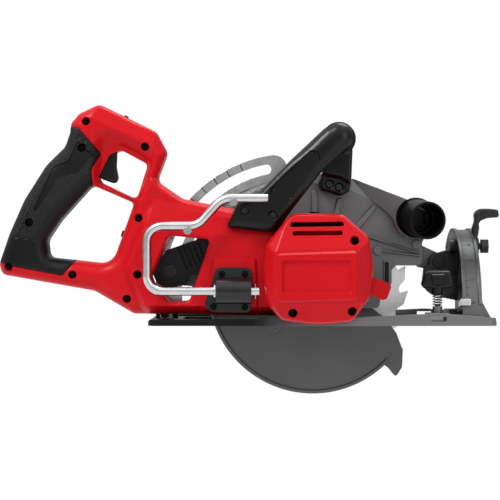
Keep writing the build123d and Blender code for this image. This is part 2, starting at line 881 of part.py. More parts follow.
# The duct swells out of the shoulder towards the dust port
with BuildPart() as duct:
    prism(about_arbor(duct_outline), wall_near - duct_height, wall_near + shoulder_depth)
    with BuildSketch(Plane.XY) as wedge:
        with BuildLine():
            Polyline(
                (duct_start, wall_near + duct_root), (duct_full, wall_near - duct_height),
                (duct_end, wall_near - duct_height), (duct_end, wall_near + duct_root), close=True,
            )
        make_face()
    extrude(wedge.sketch, amount=duct_top, mode=Mode.INTERSECT)

# The left wall is scalloped under the arbor, so that a wrench reaches the blade bolt
scallop = [
    (-scallop_half, -arbor_height, 0), (scallop_half, -arbor_height, 0),
    (scallop_half, scallop_half, scallop_round), (-scallop_half, scallop_half, scallop_round),
]
with BuildPart() as upper_guard:
    prism(about_arbor(guard_outline), wall_near, left_wall_far)
    add(guard_shoulder.part, mode=Mode.SUBTRACT)
    add(duct.part)
    add(guard_room.part, mode=Mode.SUBTRACT)
    rod(0, arbor_height, blade_radius + blade_room, guard_inner, left_wall_near, Mode.SUBTRACT)
    prism(about_arbor(scallop), left_wall_near, left_wall_far, Mode.SUBTRACT)
    prism(about_arbor(arm_outline), blade_plane - pivot_boss_half, blade_plane + pivot_boss_half)
    rod(pivot_x, pivot_z, pivot_boss_radius, blade_plane - pivot_boss_half, blade_plane + pivot_boss_half)
    prism(about_arbor(lug_outline), lug_near, guard_inner)
    for x0, z0, x1, z1, width in guard_ribs:
        length = math.hypot(x1 - x0, z1 - z0)
        tilt = math.degrees(math.atan2(z1 - z0, x1 - x0))
        with BuildSketch(side(wall_near)) as rib:
            with Locations(Location(((x0 + x1) / 2, (z0 + z1) / 2 + arbor_height, 0), tilt)):
                SlotCenterToCenter(length, width)
        extrude(rib.sketch, amount=rib_height, taper=rib_slope)
    for x, z in cover_bosses_at:
        rod(x, z + arbor_height, cover_boss_radius, wall_near - rib_height, wall_near)
    flange_room = port_flange + case_gap
    rod(port_base[0], port_base[1], flange_room, wall_near - duct_height, wall_near, Mode.SUBTRACT)
    rod(port_base[0], port_base[1], port_inner, wall_near, guard_inner, Mode.SUBTRACT)
    rod(0, arbor_height, boss_radius, wall_near, guard_inner, Mode.SUBTRACT)
    rod(pivot_x, pivot_z, pivot_pin_radius + running_gap, 0, left_wall_far, Mode.SUBTRACT)
    rod(depth_x, depth_z, depth_bolt_radius, lug_near, guard_inner, Mode.SUBTRACT)
    for x, z in case_ears:
        rod(x, z, case_screw_radius, wall_near, case_screw_end, Mode.SUBTRACT)
    for x, z in foot_screws_at:
        rod(x, z, screw_radius, wall_near, guard_inner - case_gap, Mode.SUBTRACT)

port_axis = Vector(port_lead, -port_reach, -port_drop)
port_plane = Plane(
    origin=(port_base[0], wall_near - port_root, port_base[1]), x_dir=(0, 0, 1), z_dir=port_axis
)
with BuildPart() as dust_port:
    rod(port_base[0], port_base[1], port_flange, wall_near - port_flange_width, wall_near)
    with BuildSketch(port_plane) as tube:
        Circle(port_outer)
    extrude(tube.sketch, amount=port_axis.length)
    with BuildSketch(port_plane) as passage:
        Circle(port_throat)
    extrude(passage.sketch, amount=port_axis.length, both=True, mode=Mode.SUBTRACT)
    with BuildSketch(port_plane.offset(port_axis.length)) as mouth:
        Circle(port_inner)
    extrude(mouth.sketch, amount=-port_socket, mode=Mode.SUBTRACT)
    rod(port_base[0], port_base[1], 2 * port_flange, wall_near, guard_inner, Mode.SUBTRACT)

# Lower guard, a half drum with a flared nose at the front
nose_outline = [
    (50.0, -62.2, 1), (60.0, -50.0, 1), (80.1, -42.2, 6), (86.4, -57.0, 14), (85.6, -75.0, 6),
    (79.5, -84.6, 2), (73.4, -76.6, 2), (68.6, -73.0, 1),
]
front_cut = [
    (0.0, 0.0, 0), (51.3, -14.1, 8), (70.0, -28.5, 10), (80.1, -42.2, 10), (85.4, -56.6, 0),
    (140.0, -56.6, 0), (140.0, 120.0, 0), (-140.0, 120.0, 0), (-140.0, 1.0, 0), (-40.0, 3.0, 6),
]
with BuildPart() as lower_guard:
    rod(0, arbor_height, lower_radius, lower_near, lower_far)
    prism(about_arbor(nose_outline), lower_near, lower_far)
    prism(about_arbor(front_cut), lower_near, lower_far, Mode.SUBTRACT)
    hollow_near = lower_near + lower_plate
    rod(0, arbor_height, lower_radius - lower_rim, hollow_near, lower_left_near, Mode.SUBTRACT)
    rod(0, arbor_height, lower_left_bore, hollow_near, lower_far, Mode.SUBTRACT)
    rod(0, arbor_height, lower_hub_radius, lower_near, hollow_near)
    rod(stop_boss[0], stop_boss[1], stop_boss_radius, lower_near - stop_boss_height, lower_near)
    rod(0, arbor_height, boss_radius + guard_play, lower_near, lower_far, Mode.SUBTRACT)

# Shoe with side flanges, the edge guide bridge and the ears of the bevel pins
flange_profile = [
    (shoe_back, 0.0, 0), (shoe_front, 0.0, 0), (shoe_front, 7.0, 2), (150.0, 9.0, 6),
    (guide_x, guide_block_height, 20), (78.0, 9.8, 20), (40.0, 8.0, 20), (-46.0, 9.2, 3), (-54.0, 6.0, 3),
    (shoe_back, 5.6, 2),
]
front_hub_back = bracket_back - hub_overhang
hub_places = [front_hub_back, rear_hub_at]
notch_half = bevel_hub_radius + notch_room


def pin_ear(back):
    right = blade_plane - ear_half
    left = blade_plane + ear_half
    top = bevel_height + ear_half
    corners = [(right, 0, 0), (left, 0, 0), (left, top, ear_round), (right, top, ear_round)]
    across(corners, back, back + ear_thickness)


# The pin through a hub and the two ears beside it
def bevel_pin(hub, mode=Mode.ADD):
    reach = case_gap + ear_thickness
    bar(blade_plane, bevel_height, bevel_pin_radius, hub - reach, hub + hub_length + reach, mode)


with BuildPart() as rails:
    prism(flange_profile, shoe_right, shoe_right + flange_width)
    prism(flange_profile, shoe_left - flange_width, shoe_left)
    with BuildSketch(Plane.XY) as trim:
        with Locations(((shoe_back + shoe_front) / 2, (shoe_right + shoe_left) / 2)):
            RectangleRounded(shoe_front - shoe_back, shoe_left - shoe_right, shoe_corner)
    extrude(trim.sketch, amount=guide_block_height, mode=Mode.INTERSECT)

with BuildPart() as shoe:
    with BuildSketch(Plane.XY) as sole:
        with Locations(((shoe_back + shoe_front) / 2, (shoe_right + shoe_left) / 2)):
            RectangleRounded(shoe_front - shoe_back, shoe_left - shoe_right, shoe_corner)
        with Locations(((opening_back + opening_front) / 2, (opening_right + opening_left) / 2)):
            across_opening = opening_left - opening_right
            RectangleRounded(opening_front - opening_back, across_opening, opening_round, mode=Mode.SUBTRACT)
    extrude(sole.sketch, amount=shoe_plate)
    add(rails.part)
    half = guide_slot_width / 2
    slot_top = shoe_plate + guide_slot_height
    block(
        guide_x - half - guide_block_wall, guide_x + half + guide_block_wall, shoe_right,
        guide_y + guide_block_reach, 0, guide_block_height,
    )
    block(guide_x - half, guide_x + half, shoe_right, shoe_left, shoe_plate, slot_top, Mode.SUBTRACT)
    post(guide_x, guide_y, guide_boss_radius, (slot_top + guide_block_height) / 2, guide_boss_top)
    post(guide_x, guide_y, guide_screw_radius + running_gap, shoe_plate, guide_boss_top, Mode.SUBTRACT)
    for hub in hub_places:
        front = hub + hub_length + case_gap
        side_gap = blade_plane - notch_half
        block(hub - case_gap, front, side_gap, side_gap + 2 * notch_half, 0, shoe_plate, Mode.SUBTRACT)
        pin_ear(hub - case_gap - ear_thickness)
        pin_ear(front)
        bevel_pin(hub, Mode.SUBTRACT)

with BuildPart() as bevel_pins:
    for hub in hub_places:
        bevel_pin(hub)

quadrant_top = clamp_angle - bevel_range - quadrant_spare
gusset = [
    (quadrant_front - gusset_inset, shoe_plate, 0), (gusset_front, shoe_plate, 0),
    (gusset_front - foot_height, shoe_plate + foot_height, 2),
    (quadrant_front - gusset_inset, gusset_top, 0),
]
with BuildPart() as bevel_quadrant:
    rim = quadrant_radius - quadrant_rim
    bevel_sector(rim, quadrant_radius, quadrant_top, 180 + quadrant_dip, quadrant_back, quadrant_front)
    bevel_sector(web_radius, rim + gusset_inset, quadrant_top, 180 - web_rise, web_back, web_front)
    half = clamp_radius + slot_room
    slot_low = clamp_angle - bevel_range - slot_spare
    slot_high = clamp_angle + slot_spare
    bevel_sector(
        clamp_circle - half, clamp_circle + half, slot_low, slot_high, web_back, web_front, Mode.SUBTRACT,
    )
    for angle in (slot_low, slot_high):
        y, z = polar(clamp_circle, angle, blade_plane, bevel_height)
        bar(y, z, half, web_back, web_front, Mode.SUBTRACT)
    for back in (quadrant_back, quadrant_front - quadrant_edge):
        lip = quadrant_radius + quadrant_lip
        end = 180 - lip_rise
        bevel_sector(quadrant_radius - gusset_inset, lip, quadrant_top, end, back, back + quadrant_edge)
    right = shoe_right + gusset_side
    prism(gusset, right, right + gusset_width)
    left = shoe_right + foot_width
    block(quadrant_back, quadrant_front, right, left, shoe_plate, shoe_plate + foot_height)
    prism(flange_profile, shoe_right, shoe_right + flange_width, Mode.SUBTRACT)

# Tilting frame between the saw and the shoe
clamp_y, clamp_z = polar(clamp_circle, clamp_angle, blade_plane, bevel_height)
bracket_front = web_back - case_gap
lug_gap = pivot_boss_half + sliding_gap
cheek_edge = [(-14.0, -4.0, 2), (-15.3, -16.0, 8), (-12.5, -27.0, 9), (-4.5, -32.5, 8)]
cheek_ribs = [-9.0, -16.0, -23.0]
bolt_seat = quadrant_back - bolt_head_gap
with BuildPart() as front_bracket:
    bevel_sector(bracket_core, bracket_radius, bracket_top, 180 - bracket_rise, bracket_back, bracket_front)
    hole_outer = bracket_radius - bracket_rim
    bevel_sector(hole_inner, hole_outer, hole_start, hole_end, bracket_back, bracket_front, Mode.SUBTRACT)
    hub_front = front_hub_back + hub_length
    bar(blade_plane, bevel_height, bevel_hub_radius, front_hub_back, hub_front)
    right = blade_plane + bracket_web[0]
    left = blade_plane + bracket_web[1]
    top = bracket_web[2]
    web = [(right, bevel_height, 0), (left, bevel_height, 0), (left, top, 0), (right, top, 0)]
    across(web, bracket_back, hub_front)
    root = bracket_back + bracket_lug_rim
    near = blade_plane - lug_gap - lug_width
    cheek = [(pivot_x + x, pivot_z + z, r) for x, z, r in cheek_edge]
    cheek += [(root, pivot_z - cheek_fall, 0), (root, pivot_z, 0), (pivot_x, pivot_z, 0)]
    prism(cheek, near, near + lug_width)
    for rise in cheek_ribs:
        low = pivot_z + rise
        block(cheek_rib_back, root, near - cheek_rib_height, near, low, low + cheek_rib_width)
    for near in (blade_plane - lug_gap - lug_width, blade_plane + lug_gap):
        rod(pivot_x, pivot_z, pivot_boss_radius + bracket_lug_rim, near, near + lug_width)
        lug = [
            (pivot_x, pivot_z + pivot_boss_radius, 0), (root, pivot_z + bracket_lug_rise, 0),
            (root, pivot_z - bracket_lug_fall, 0), (pivot_x, pivot_z - pivot_boss_radius, 0),
        ]
        prism(lug, near, near + lug_width)
        rod(pivot_x, pivot_z, pivot_pin_radius, near, near + lug_width, Mode.SUBTRACT)
    bar(clamp_y, clamp_z, clamp_radius + bolt_head_rim, bolt_seat, bracket_front)
    bar(clamp_y, clamp_z, clamp_radius, bolt_seat, bracket_front, Mode.SUBTRACT)
    bar(blade_plane, bevel_height, bevel_pin_radius + pin_play, front_hub_back, hub_front, Mode.SUBTRACT)

trunnion_low = shoe_plate + trunnion_room
far_lug = arc_near + arc_thickness + sliding_gap
with BuildPart() as rear_trunnion:
    hub_front = rear_hub_at + hub_length
    bar(blade_plane, bevel_height, bevel_hub_radius, rear_hub_at, hub_front)
    block(rear_hub_at, hub_front, far_lug, blade_plane, trunnion_low, bevel_height + bevel_hub_radius)
    bar(blade_plane, bevel_height, bevel_pin_radius + pin_play, rear_hub_at, hub_front, Mode.SUBTRACT)
    rod(arc_pin_x, arc_pin_z, arc_pin_radius, far_lug, far_lug + arc_pin_hold, Mode.SUBTRACT)

with BuildPart() as depth_pins:
    head = blade_plane - lug_gap - lug_width
    rod(pivot_x, pivot_z, pivot_pin_radius, head, blade_plane + lug_gap + lug_width)
    rod(pivot_x, pivot_z, pivot_pin_radius + pin_head_rim, head - pin_head, head)
    head = arc_near - sliding_gap
    rod(arc_pin_x, arc_pin_z, arc_pin_radius, head, far_lug + arc_pin_hold)
    rod(arc_pin_x, arc_pin_z, arc_pin_radius + pin_head_rim, head - pin_head, head)

with BuildPart() as bevel_pointer:
    inner = bracket_radius - pointer_root
    low = quadrant_radius + pointer_rise
    high = low + pointer_thickness
    front = quadrant_back - pointer_gap
    back = front - pointer_plate
    end = 180 - pointer_rise_angle
    start = end - pointer_width_angle
    bevel_sector(inner, high, start, end, back, front)
    bevel_sector(low, high, start, end, back, quadrant_back + pointer_tongue)
    bevel_sector(inner, bracket_radius, start, end, back, bracket_back)

lever_back = quadrant_front + lever_gap
lever_hub_front = lever_back + lever_hub_width
nut_back = lever_hub_front + case_gap
with BuildPart() as bevel_bolt:
    bar(clamp_y, clamp_z, clamp_radius, bolt_seat, nut_back + bevel_nut_width)
    bar(clamp_y, clamp_z, clamp_radius + bolt_head_rim, bolt_seat - bolt_head, bolt_seat)

with BuildPart() as bevel_nut:
    with BuildSketch(Plane.YZ.offset(nut_back)) as hexagon:
        with Locations((clamp_y, clamp_z)):
            RegularPolygon(bevel_nut_half, 6, major_radius=False)
            Circle(clamp_radius, mode=Mode.SUBTRACT)
    extrude(hexagon.sketch, amount=bevel_nut_width)

with BuildPart() as bevel_lever:
    bar(clamp_y, clamp_z, lever_hub_radius, lever_back, lever_hub_front)
    bar(clamp_y, clamp_z, lever_boss_radius, web_front + case_gap, lever_back)
    right = clamp_y - lever_half
    left = clamp_y + lever_half
    top = clamp_z + lever_rise
    tab_end = lever_back + lever_tab_reach
    strip = [
        (lever_back, clamp_z, 0), (lever_back, top, lever_round), (tab_end, top, lever_edge),
        (tab_end, top - lever_tab_height, lever_edge),
        (lever_back + lever_plate, top - lever_tab_height, lever_edge),
        (lever_back + lever_plate, clamp_z, 0),
    ]
    prism(strip, right, left)
    bar(clamp_y, clamp_z, clamp_radius + running_gap, web_front, lever_hub_front, Mode.SUBTRACT)

# Depth bracket: a slotted arc, hinged at the shoe's rear and clamped at the guard's lug
with BuildPart() as depth_bracket:
    far = arc_near + arc_thickness
    arc_sector(
        slot_centre_x, slot_centre_z, arc_inner, arc_outer, arc_top_angle, arc_low_angle, arc_near, far,
    )
    x, z = polar((arc_inner + arc_outer) / 2, arc_top_angle, slot_centre_x, slot_centre_z)
    rod(x, z, (arc_outer - arc_inner) / 2, arc_near, far)
    rod(arc_pin_x, arc_pin_z, arc_pin_radius + arc_lug_rim, arc_near, far)
    top = arc_pin_z + arc_neck_rise
    neck = [
        (arc_pin_x - arc_neck_low, arc_pin_z, 0), (arc_pin_x - arc_neck_back, top, 0),
        (arc_pin_x + arc_neck_front, top, 0), (arc_pin_x + arc_neck_low, arc_pin_z, 0),
    ]
    prism(neck, arc_near, far)
    arc_sector(
        slot_centre_x, slot_centre_z, slot_radius - slot_half, slot_radius + slot_half, slot_top_angle,
        slot_low_angle, arc_near, far, Mode.SUBTRACT,
    )
    for angle in (slot_top_angle, slot_low_angle):
        x, z = polar(slot_radius, angle, slot_centre_x, slot_centre_z)
        rod(x, z, slot_half, arc_near, far, Mode.SUBTRACT)
    rod(arc_pin_x, arc_pin_z, arc_pin_radius + running_gap, arc_near, far, Mode.SUBTRACT)

with BuildPart() as depth_clamp_bolt:
    rod(depth_x, depth_z, depth_bolt_radius, lever_near - depth_nut_width, guard_inner)
    rod(depth_x, depth_z, depth_head_radius, guard_inner, guard_inner + depth_head)

lever_outline = [
    (-147.5, 57.3, 4), (-138.3, 69.5, 4), (-109.4, 79.5, 3), (-97.5, 78.4, 3), (-102.8, 62.9, 3),
    (-103.4, 46.0, 3), (-117.2, 46.0, 2), (-121.0, 36.0, 3), (-135.5, 35.3, 6),
]
with BuildPart() as depth_lever:
    rod(depth_x, depth_z, lever_hub, lever_near, lever_far)
    prism(lever_outline, lever_near, lever_far)
    for k in range(groove_count):
        x = depth_x + groove_first[0] + k * groove_step[0]
        z = depth_z + groove_first[1] + k * groove_step[1]
        with BuildSketch(side(lever_near + groove_depth)) as groove:
            with Locations(Location((x, z, 0), groove_lean)):
                SlotOverall(groove_length - k * groove_step[1], groove_width)
        extrude(groove.sketch, amount=groove_depth, mode=Mode.SUBTRACT)
    rod(depth_x, depth_z, depth_bolt_radius + running_gap, lever_near, lever_far, Mode.SUBTRACT)

with BuildPart() as depth_nut:
    with BuildSketch(side(lever_near)) as hexagon:
        with Locations((depth_x, depth_z)):
            RegularPolygon(depth_nut_half, 6, major_radius=False)
            Circle(depth_bolt_radius + running_gap, mode=Mode.SUBTRACT)
    extrude(hexagon.sketch, amount=depth_nut_width)

# Edge guide clamp: a wing knob on a screw, with a coil spring between knob and boss
with BuildPart() as edge_guide_knob:
    half = knob_width / 2
    wing = [
        (guide_x - half + knob_draft, knob_top, knob_round),
        (guide_x + half - knob_draft, knob_top, knob_round),
        (guide_x + half, knob_low + knob_draft, knob_round), (guide_x + half - knob_round, knob_low, 1),
        (guide_x - half + knob_round, knob_low, 1), (guide_x - half, knob_low + knob_draft, knob_round),
    ]
    prism(wing, guide_y - knob_depth / 2, guide_y + knob_depth / 2)
    post(guide_x, guide_y, guide_collar_radius, guide_collar_low, knob_low)
    post(guide_x, guide_y, guide_screw_radius, slot_top + guide_screw_clear, guide_collar_low)


def coil_point(turn):
    low = guide_boss_top + coil_wire / 2 + case_gap
    high = guide_collar_low - coil_wire / 2 - case_gap
    a = 2 * math.pi * turn
    rise = (high - low) / coil_turns
    across_x = coil_radius * math.cos(a)
    across_y = coil_radius * math.sin(a)
    place = Vector(guide_x + across_x, guide_y + across_y, low + rise * turn)
    slope = Vector(-across_y, across_x, rise / (2 * math.pi))
    return place, slope.normalized()


with BuildPart() as edge_guide_spring:
    with BuildLine() as coil:
        for k in range(coil_turns * 4):
            start, lead = coil_point(k / 4)
            end, trail = coil_point((k + 1) / 4)
            span = end - start
            both = lead + trail
            spread = 2 * (1 - lead.dot(trail))
            reach = (math.sqrt(span.dot(both) ** 2 + spread * span.dot(span)) - span.dot(both)) / spread
            meet = (start + end + (lead - trail) * reach) * 0.5
            TangentArc([start, meet], tangent=lead)
            TangentArc([meet, end], tangent=-trail, tangent_from_first=False)
    start, lead = coil_point(0)
    with BuildSketch(Plane(origin=start, z_dir=lead)) as wire:
        Circle(coil_wire / 2)
    sweep(wire.sketch, path=coil.line)

samples = [coil_point(i / coil_samples)[0] for i in range(coil_samples * coil_turns + 1)]
pairs = [(a, b) for i, a in enumerate(samples) for b in samples[i + coil_samples // 2:]]
least = min((a - b).length for a, b in pairs)
print("edge guide spring: least gap to itself", round(least - coil_wire, 2))

# Housing in two shells, parted at Y = 0
housing_outline = [
    (-226.5, 187.5, 6.5), (-219.0, 196.3, 8), (-200.4, 205.2, 9), (-147.0, 179.2, 10), (-136.8, 159.6, 9),
    (-146.6, 133.6, 7), (-122.4, 117.0, 14), (-77.9, 107.9, 30), (-38.0, 106.5, 6.5), (-27.5, 97.5, 6.5),
    (-28.0, 20.0, 6.5), (-36.5, 8.6, 6.5), (-168.0, 10.2, 8), (-204.5, 31.4, 12), (-290.6, 46.6, 6.5),
    (-293.4, 56.5, 6.5), (-284.0, 84.0, 60), (-270.0, 116.0, 60), (-249.6, 148.2, 40),
    (-232.0, 165.5, 12), (-227.8, 178.0, 10),
]
grip_opening = [
    (-206.8, 129.8, 7), (-168.0, 112.9, 4), (-188.3, 56.4, 15), (-246.8, 62.6, 6), (-248.8, 78.0, 12),
    (-236.0, 97.2, 25),
]
trigger_opening = [
    (-201.3, 137.0, 6), (-190.5, 158.5, 8), (-180.0, 162.6, 6), (-155.0, 149.2, 5), (-165.4, 116.6, 4.5),
    (-198.0, 132.0, 4),
]
body_window = [
    (-134.8, 83.0, 6), (-96.5, 79.0, 4), (-116.0, 22.0, 6), (-134.5, 21.5, 5), (-148.5, 37.0, 6),
    (-151.5, 45.0, 5),
]
grip_region = [
    (-310.0, 60.4, 0), (-246.0, 48.1, 0), (-233.9, 45.8, 0), (-221.5, 59.5, 0), (-215.0, 80.0, 0),
    (-206.0, 118.0, 0), (-206.0, 131.0, 0), (-206.6, 144.0, 0), (-198.0, 159.0, 0), (-218.8, 182.0, 0),
    (-226.0, 184.5, 0), (-250.0, 194.0, 0),
]
body_plateau = [
    (-150.0, 126.0, 8), (-122.0, 113.8, 14), (-77.5, 104.9, 30), (-39.5, 103.6, 6.5), (-29.5, 95.6, 6.5),
    (-30.0, 21.0, 6.5), (-37.5, 11.0, 6.5), (-160.0, 12.4, 8), (-177.5, 52.0, 10),
]
body_bay = [
    (-90.5, 88.0, 3), (-53.0, 88.0, 3), (-50.0, 75.0, 3), (-52.0, 45.0, 3), (-49.0, 16.0, 3),
    (-108.0, 14.5, 3), (-110.0, 22.0, 3),
]
left_swell = [(-320.0, 0.0, 0), (-158.0, 0.0, 0), (-158.0, 230.0, 0), (-320.0, 230.0, 0)]
openings = [grip_opening, trigger_opening, body_window]
housing_screws_at = [
    (-211.7, 188.5), (-157.2, 165.2), (-215.7, 163.9), (-264.2, 94.9), (-283.5, 53.6), (-224.2, 46.5),
    (-174.0, 24.1), (-163.3, 99.0), (-163.5, 46.8),
]
handle_screws_at = [(-65.1, 105.3), (-39.2, 101.2)]
hook_screws_at = [(-85.8, 47.3), (-64.8, 47.3), (-93.6, 17.5), (-64.8, 17.0)]
cavity_inset = grip_skin + wall
cavity_reach = handle_half - cavity_inset
trigger_slot = [
    (-211.0, 133.5, 2), (-196.0, 131.5, 2), (-183.0, 139.0, 2), (-183.0, 170.5, 2), (-197.0, 171.0, 2),
    (-211.0, 158.0, 2),
]
trigger_outline = [
    (-186.0, 161.5, 3), (-185.2, 149.5, 20), (-184.2, 139.0, 4), (-185.6, 133.6, 2), (-198.5, 135.4, 3),
    (-203.0, 140.5, 3), (-200.5, 152.0, 8), (-193.0, 168.0, 3), (-188.0, 168.0, 2),
]


# A box in the frame of the handle's sloping top, by its reach outward and inward
def on_top(length, outward, inward, half, mode=Mode.ADD):
    with BuildSketch(side(half)) as face:
        turn = math.radians(button_slope)
        mid = (outward - inward) / 2
        spot = (button_x - mid * math.sin(turn), button_z + mid * math.cos(turn), 0)
        with Locations(Location(spot, button_slope)):
            Rectangle(length, outward + inward)
    extrude(face.sketch, amount=2 * half, mode=mode)


# The switch's box, grown by a margin
def switch_box(margin, half, mode=Mode.ADD):
    low = switch_low - margin
    high = switch_high + margin
    block(switch_back - margin, switch_front + margin, -half, half, low, high, mode)


# Both handle halves as full solids, before the grips and hollows are taken out
with BuildPart() as right_form:
    prism(housing_outline, -handle_half, 0)
    chamfer(right_form.faces().sort_by(Axis.Y)[0].edges(), length=edge_chamfer)
    for opening in openings:
        prism(opening, -handle_half, 0, Mode.SUBTRACT)

with BuildPart() as left_form:
    prism(housing_outline, 0, handle_half)
    chamfer(left_form.faces().sort_by(Axis.Y)[-1].edges(), length=edge_chamfer)
    for opening in openings:
        prism(opening, 0, handle_half, Mode.SUBTRACT)

with BuildPart() as plateau:
    prism(body_plateau, -body_right, -handle_half + edge_chamfer)
    chamfer(plateau.faces().sort_by(Axis.Y)[0].edges(), length=edge_chamfer)
    prism(body_window, -body_right, 0, Mode.SUBTRACT)


# What the grips leave inside, and the hollows of the shells
with BuildPart() as grip_core:
    prism(housing_outline, grip_skin - handle_half, handle_half - grip_skin, shrink=grip_skin)
    prism(grip_opening, -handle_half, handle_half, Mode.SUBTRACT, shrink=-grip_skin)

with BuildPart() as hollow:
    prism(housing_outline, -cavity_reach, cavity_reach, shrink=cavity_inset)
    for opening in openings:
        prism(opening, -handle_half, handle_half, Mode.SUBTRACT, shrink=-cavity_inset)
    prism(left_swell, -handle_half, handle_half, Mode.INTERSECT)
    prism(trigger_slot, -handle_half, handle_half, Mode.SUBTRACT, shrink=-wall)
    switch_box(switch_wall, handle_half, Mode.SUBTRACT)
    for x, z in housing_screws_at:
        rod(x, z, boss_around_screw, -handle_half, handle_half, Mode.SUBTRACT)
    length = button_length + 2 * wall
    on_top(length, button_rise, button_slot_depth + wall, button_half + wall, Mode.SUBTRACT)

with BuildPart() as bay:
    prism(body_bay, bay_near, module_far + case_gap)
    for x, z in hook_screws_at:
        rod(x, z, boss_around_screw, bay_near, boss_end_near, Mode.SUBTRACT)

# Room for the trigger, the switch, the button and the motor sleeve
with BuildPart() as control_room:
    prism(trigger_slot, -trigger_half - trigger_play, trigger_half + trigger_play)
    reach = trigger_pin_half + case_gap
    rod(trigger_x, trigger_z, trigger_pin_radius + running_gap, -reach, reach)
    switch_box(case_gap, switch_half + case_gap)
    on_top(button_length + 2 * sliding_gap, wall, button_slot_depth, button_half + sliding_gap)

with BuildPart() as grip_right:
    add(right_form.part)
    prism(grip_region, -handle_half, 0, Mode.INTERSECT)
    add(grip_core.part, mode=Mode.SUBTRACT)
    for x, z in housing_screws_at:
        rod(x, z, screw_head_radius + case_gap, -handle_half, screw_seat, Mode.SUBTRACT)

with BuildPart() as grip_left:
    add(left_form.part)
    prism(grip_region, 0, handle_half, Mode.INTERSECT)
    add(grip_core.part, mode=Mode.SUBTRACT)

with BuildPart() as housing_right:
    add(right_form.part)
    add(plateau.part)
    for x, z in handle_screws_at:
        rod(x, z, boss_around_screw, -body_right, boss_end_near)
    prism(sleeve_corners, motor_near, case_near, Mode.SUBTRACT, shrink=-case_gap)
    add(hollow.part, mode=Mode.SUBTRACT)
    add(bay.part, mode=Mode.SUBTRACT)
    add(control_room.part, mode=Mode.SUBTRACT)
    add(grip_right.part, mode=Mode.SUBTRACT)
    for x, z in housing_screws_at:
        rod(x, z, screw_head_radius + case_gap, -body_right, screw_seat, Mode.SUBTRACT)
        rod(x, z, screw_radius + screw_clearance, screw_seat, 0, Mode.SUBTRACT)
    for x, z in handle_screws_at + hook_screws_at:
        rod(x, z, screw_radius, -body_right, boss_screw_end, Mode.SUBTRACT)

# The left shell is thin beside the depth lever, and swells out in the handle


# A block on the battery socket, by its reach along the socket's face and behind that face
def on_socket(low, high, rear, front, near, far, mode=Mode.ADD):
    lean = math.radians(socket_lean)
    along = (math.cos(lean), math.sin(lean))
    inward = (math.sin(lean), -math.cos(lean))
    corners = []
    for a, b in ((low, rear), (high, rear), (high, front), (low, front)):
        x = socket_corner[0] + a * along[0] + b * inward[0]
        z = socket_corner[1] + a * along[1] + b * inward[1]
        corners.append((x, z, 0))
    prism(corners, near, far, mode)


with BuildPart() as left_body:
    prism(housing_outline, 0, body_left)
    chamfer(left_body.faces().sort_by(Axis.Y)[-1].edges(), length=edge_chamfer / 2)
    for opening in openings:
        prism(opening, 0, body_left, Mode.SUBTRACT)

with BuildPart() as housing_left:
    add(left_form.part)
    prism(left_swell, 0, handle_half, Mode.INTERSECT)
    add(left_body.part)
    prism(sleeve_corners, motor_near, case_near, Mode.SUBTRACT, shrink=-case_gap)
    rod(0, motor_height, case_motor_radius + case_gap, 0, handle_half, Mode.SUBTRACT)
    for x, z in case_ears:
        rod(x, z, ear_radius + case_gap, 0, handle_half, Mode.SUBTRACT)
    on_socket(0, socket_length, 0, socket_plate, wall, socket_far)
    for start in (0, socket_length - rail_depth):
        end = start + rail_depth
        on_socket(start, end, rail_inset, rail_inset + rail_width, handle_half, socket_far, Mode.SUBTRACT)
    add(hollow.part, mode=Mode.SUBTRACT)
    add(bay.part, mode=Mode.SUBTRACT)
    add(control_room.part, mode=Mode.SUBTRACT)
    add(grip_left.part, mode=Mode.SUBTRACT)
    for x, z in housing_screws_at:
        rod(x, z, screw_radius, 0, screw_reach, Mode.SUBTRACT)

with BuildPart() as terminal_block:
    on_socket(terminal_start, terminal_end, -terminal_proud, 0, terminal_near, terminal_far)

with BuildPart() as housing_screws:
    for x, z in housing_screws_at:
        rod(x, z, screw_radius, screw_seat, screw_reach)
        rod(x, z, screw_head_radius, screw_seat - screw_head_height, screw_seat)

with BuildPart() as trigger:
    prism(trigger_outline, -trigger_half, trigger_half)
    rod(trigger_x, trigger_z, trigger_pin_radius, -trigger_pin_half, trigger_pin_half)

with BuildPart() as trigger_switch:
    switch_box(0, switch_half)

with BuildPart() as lock_off_button:
    on_top(button_length, button_rise, button_depth, button_half)

with BuildPart() as controller_module:
    block(module_back, module_front, module_near, module_far, module_low, module_high)
    for k in range(fin_count):
        low = module_low + fin_width + k * fin_pitch
        back = module_back + fin_width
        block(back, module_front - fin_width, boss_end_near + case_gap, module_near, low, low + fin_width)


# Front handle: a leg on the body, a round bar across the saw and a foot on the guard
leg_outline = [
    (-71.1, 113.4, 6), (-81.2, 92.3, 3), (-79.4, 89.5, 2), (-37.0, 85.2, 4), (-16.8, 112.2, 30),
    (5.3, 140.7, 40), (38.0, 168.0, 14), (33.0, 184.0, 10), (20.0, 188.0, 12), (8.0, 181.0, 20),
    (-23.1, 151.7, 60), (-52.4, 121.7, 20),
]
foot_outline = [
    (6.0, 165.0, 3), (37.0, 165.0, 3), (35.8, 138.6, 20), (34.0, 125.0, 4), (26.0, 120.6, 4),
    (6.2, 126.3, 4), (4.6, 133.6, 4), (8.7, 144.3, 8),
]
foot_top = [(8.0, 147.0, 3), (36.2, 147.0, 3), (37.0, 172.0, 4), (6.0, 172.0, 4)]
with BuildPart() as leg:
    prism(leg_outline, handle_near, leg_far)
    chamfer(leg.faces().sort_by(Axis.Y)[0].edges(), length=leg_chamfer)

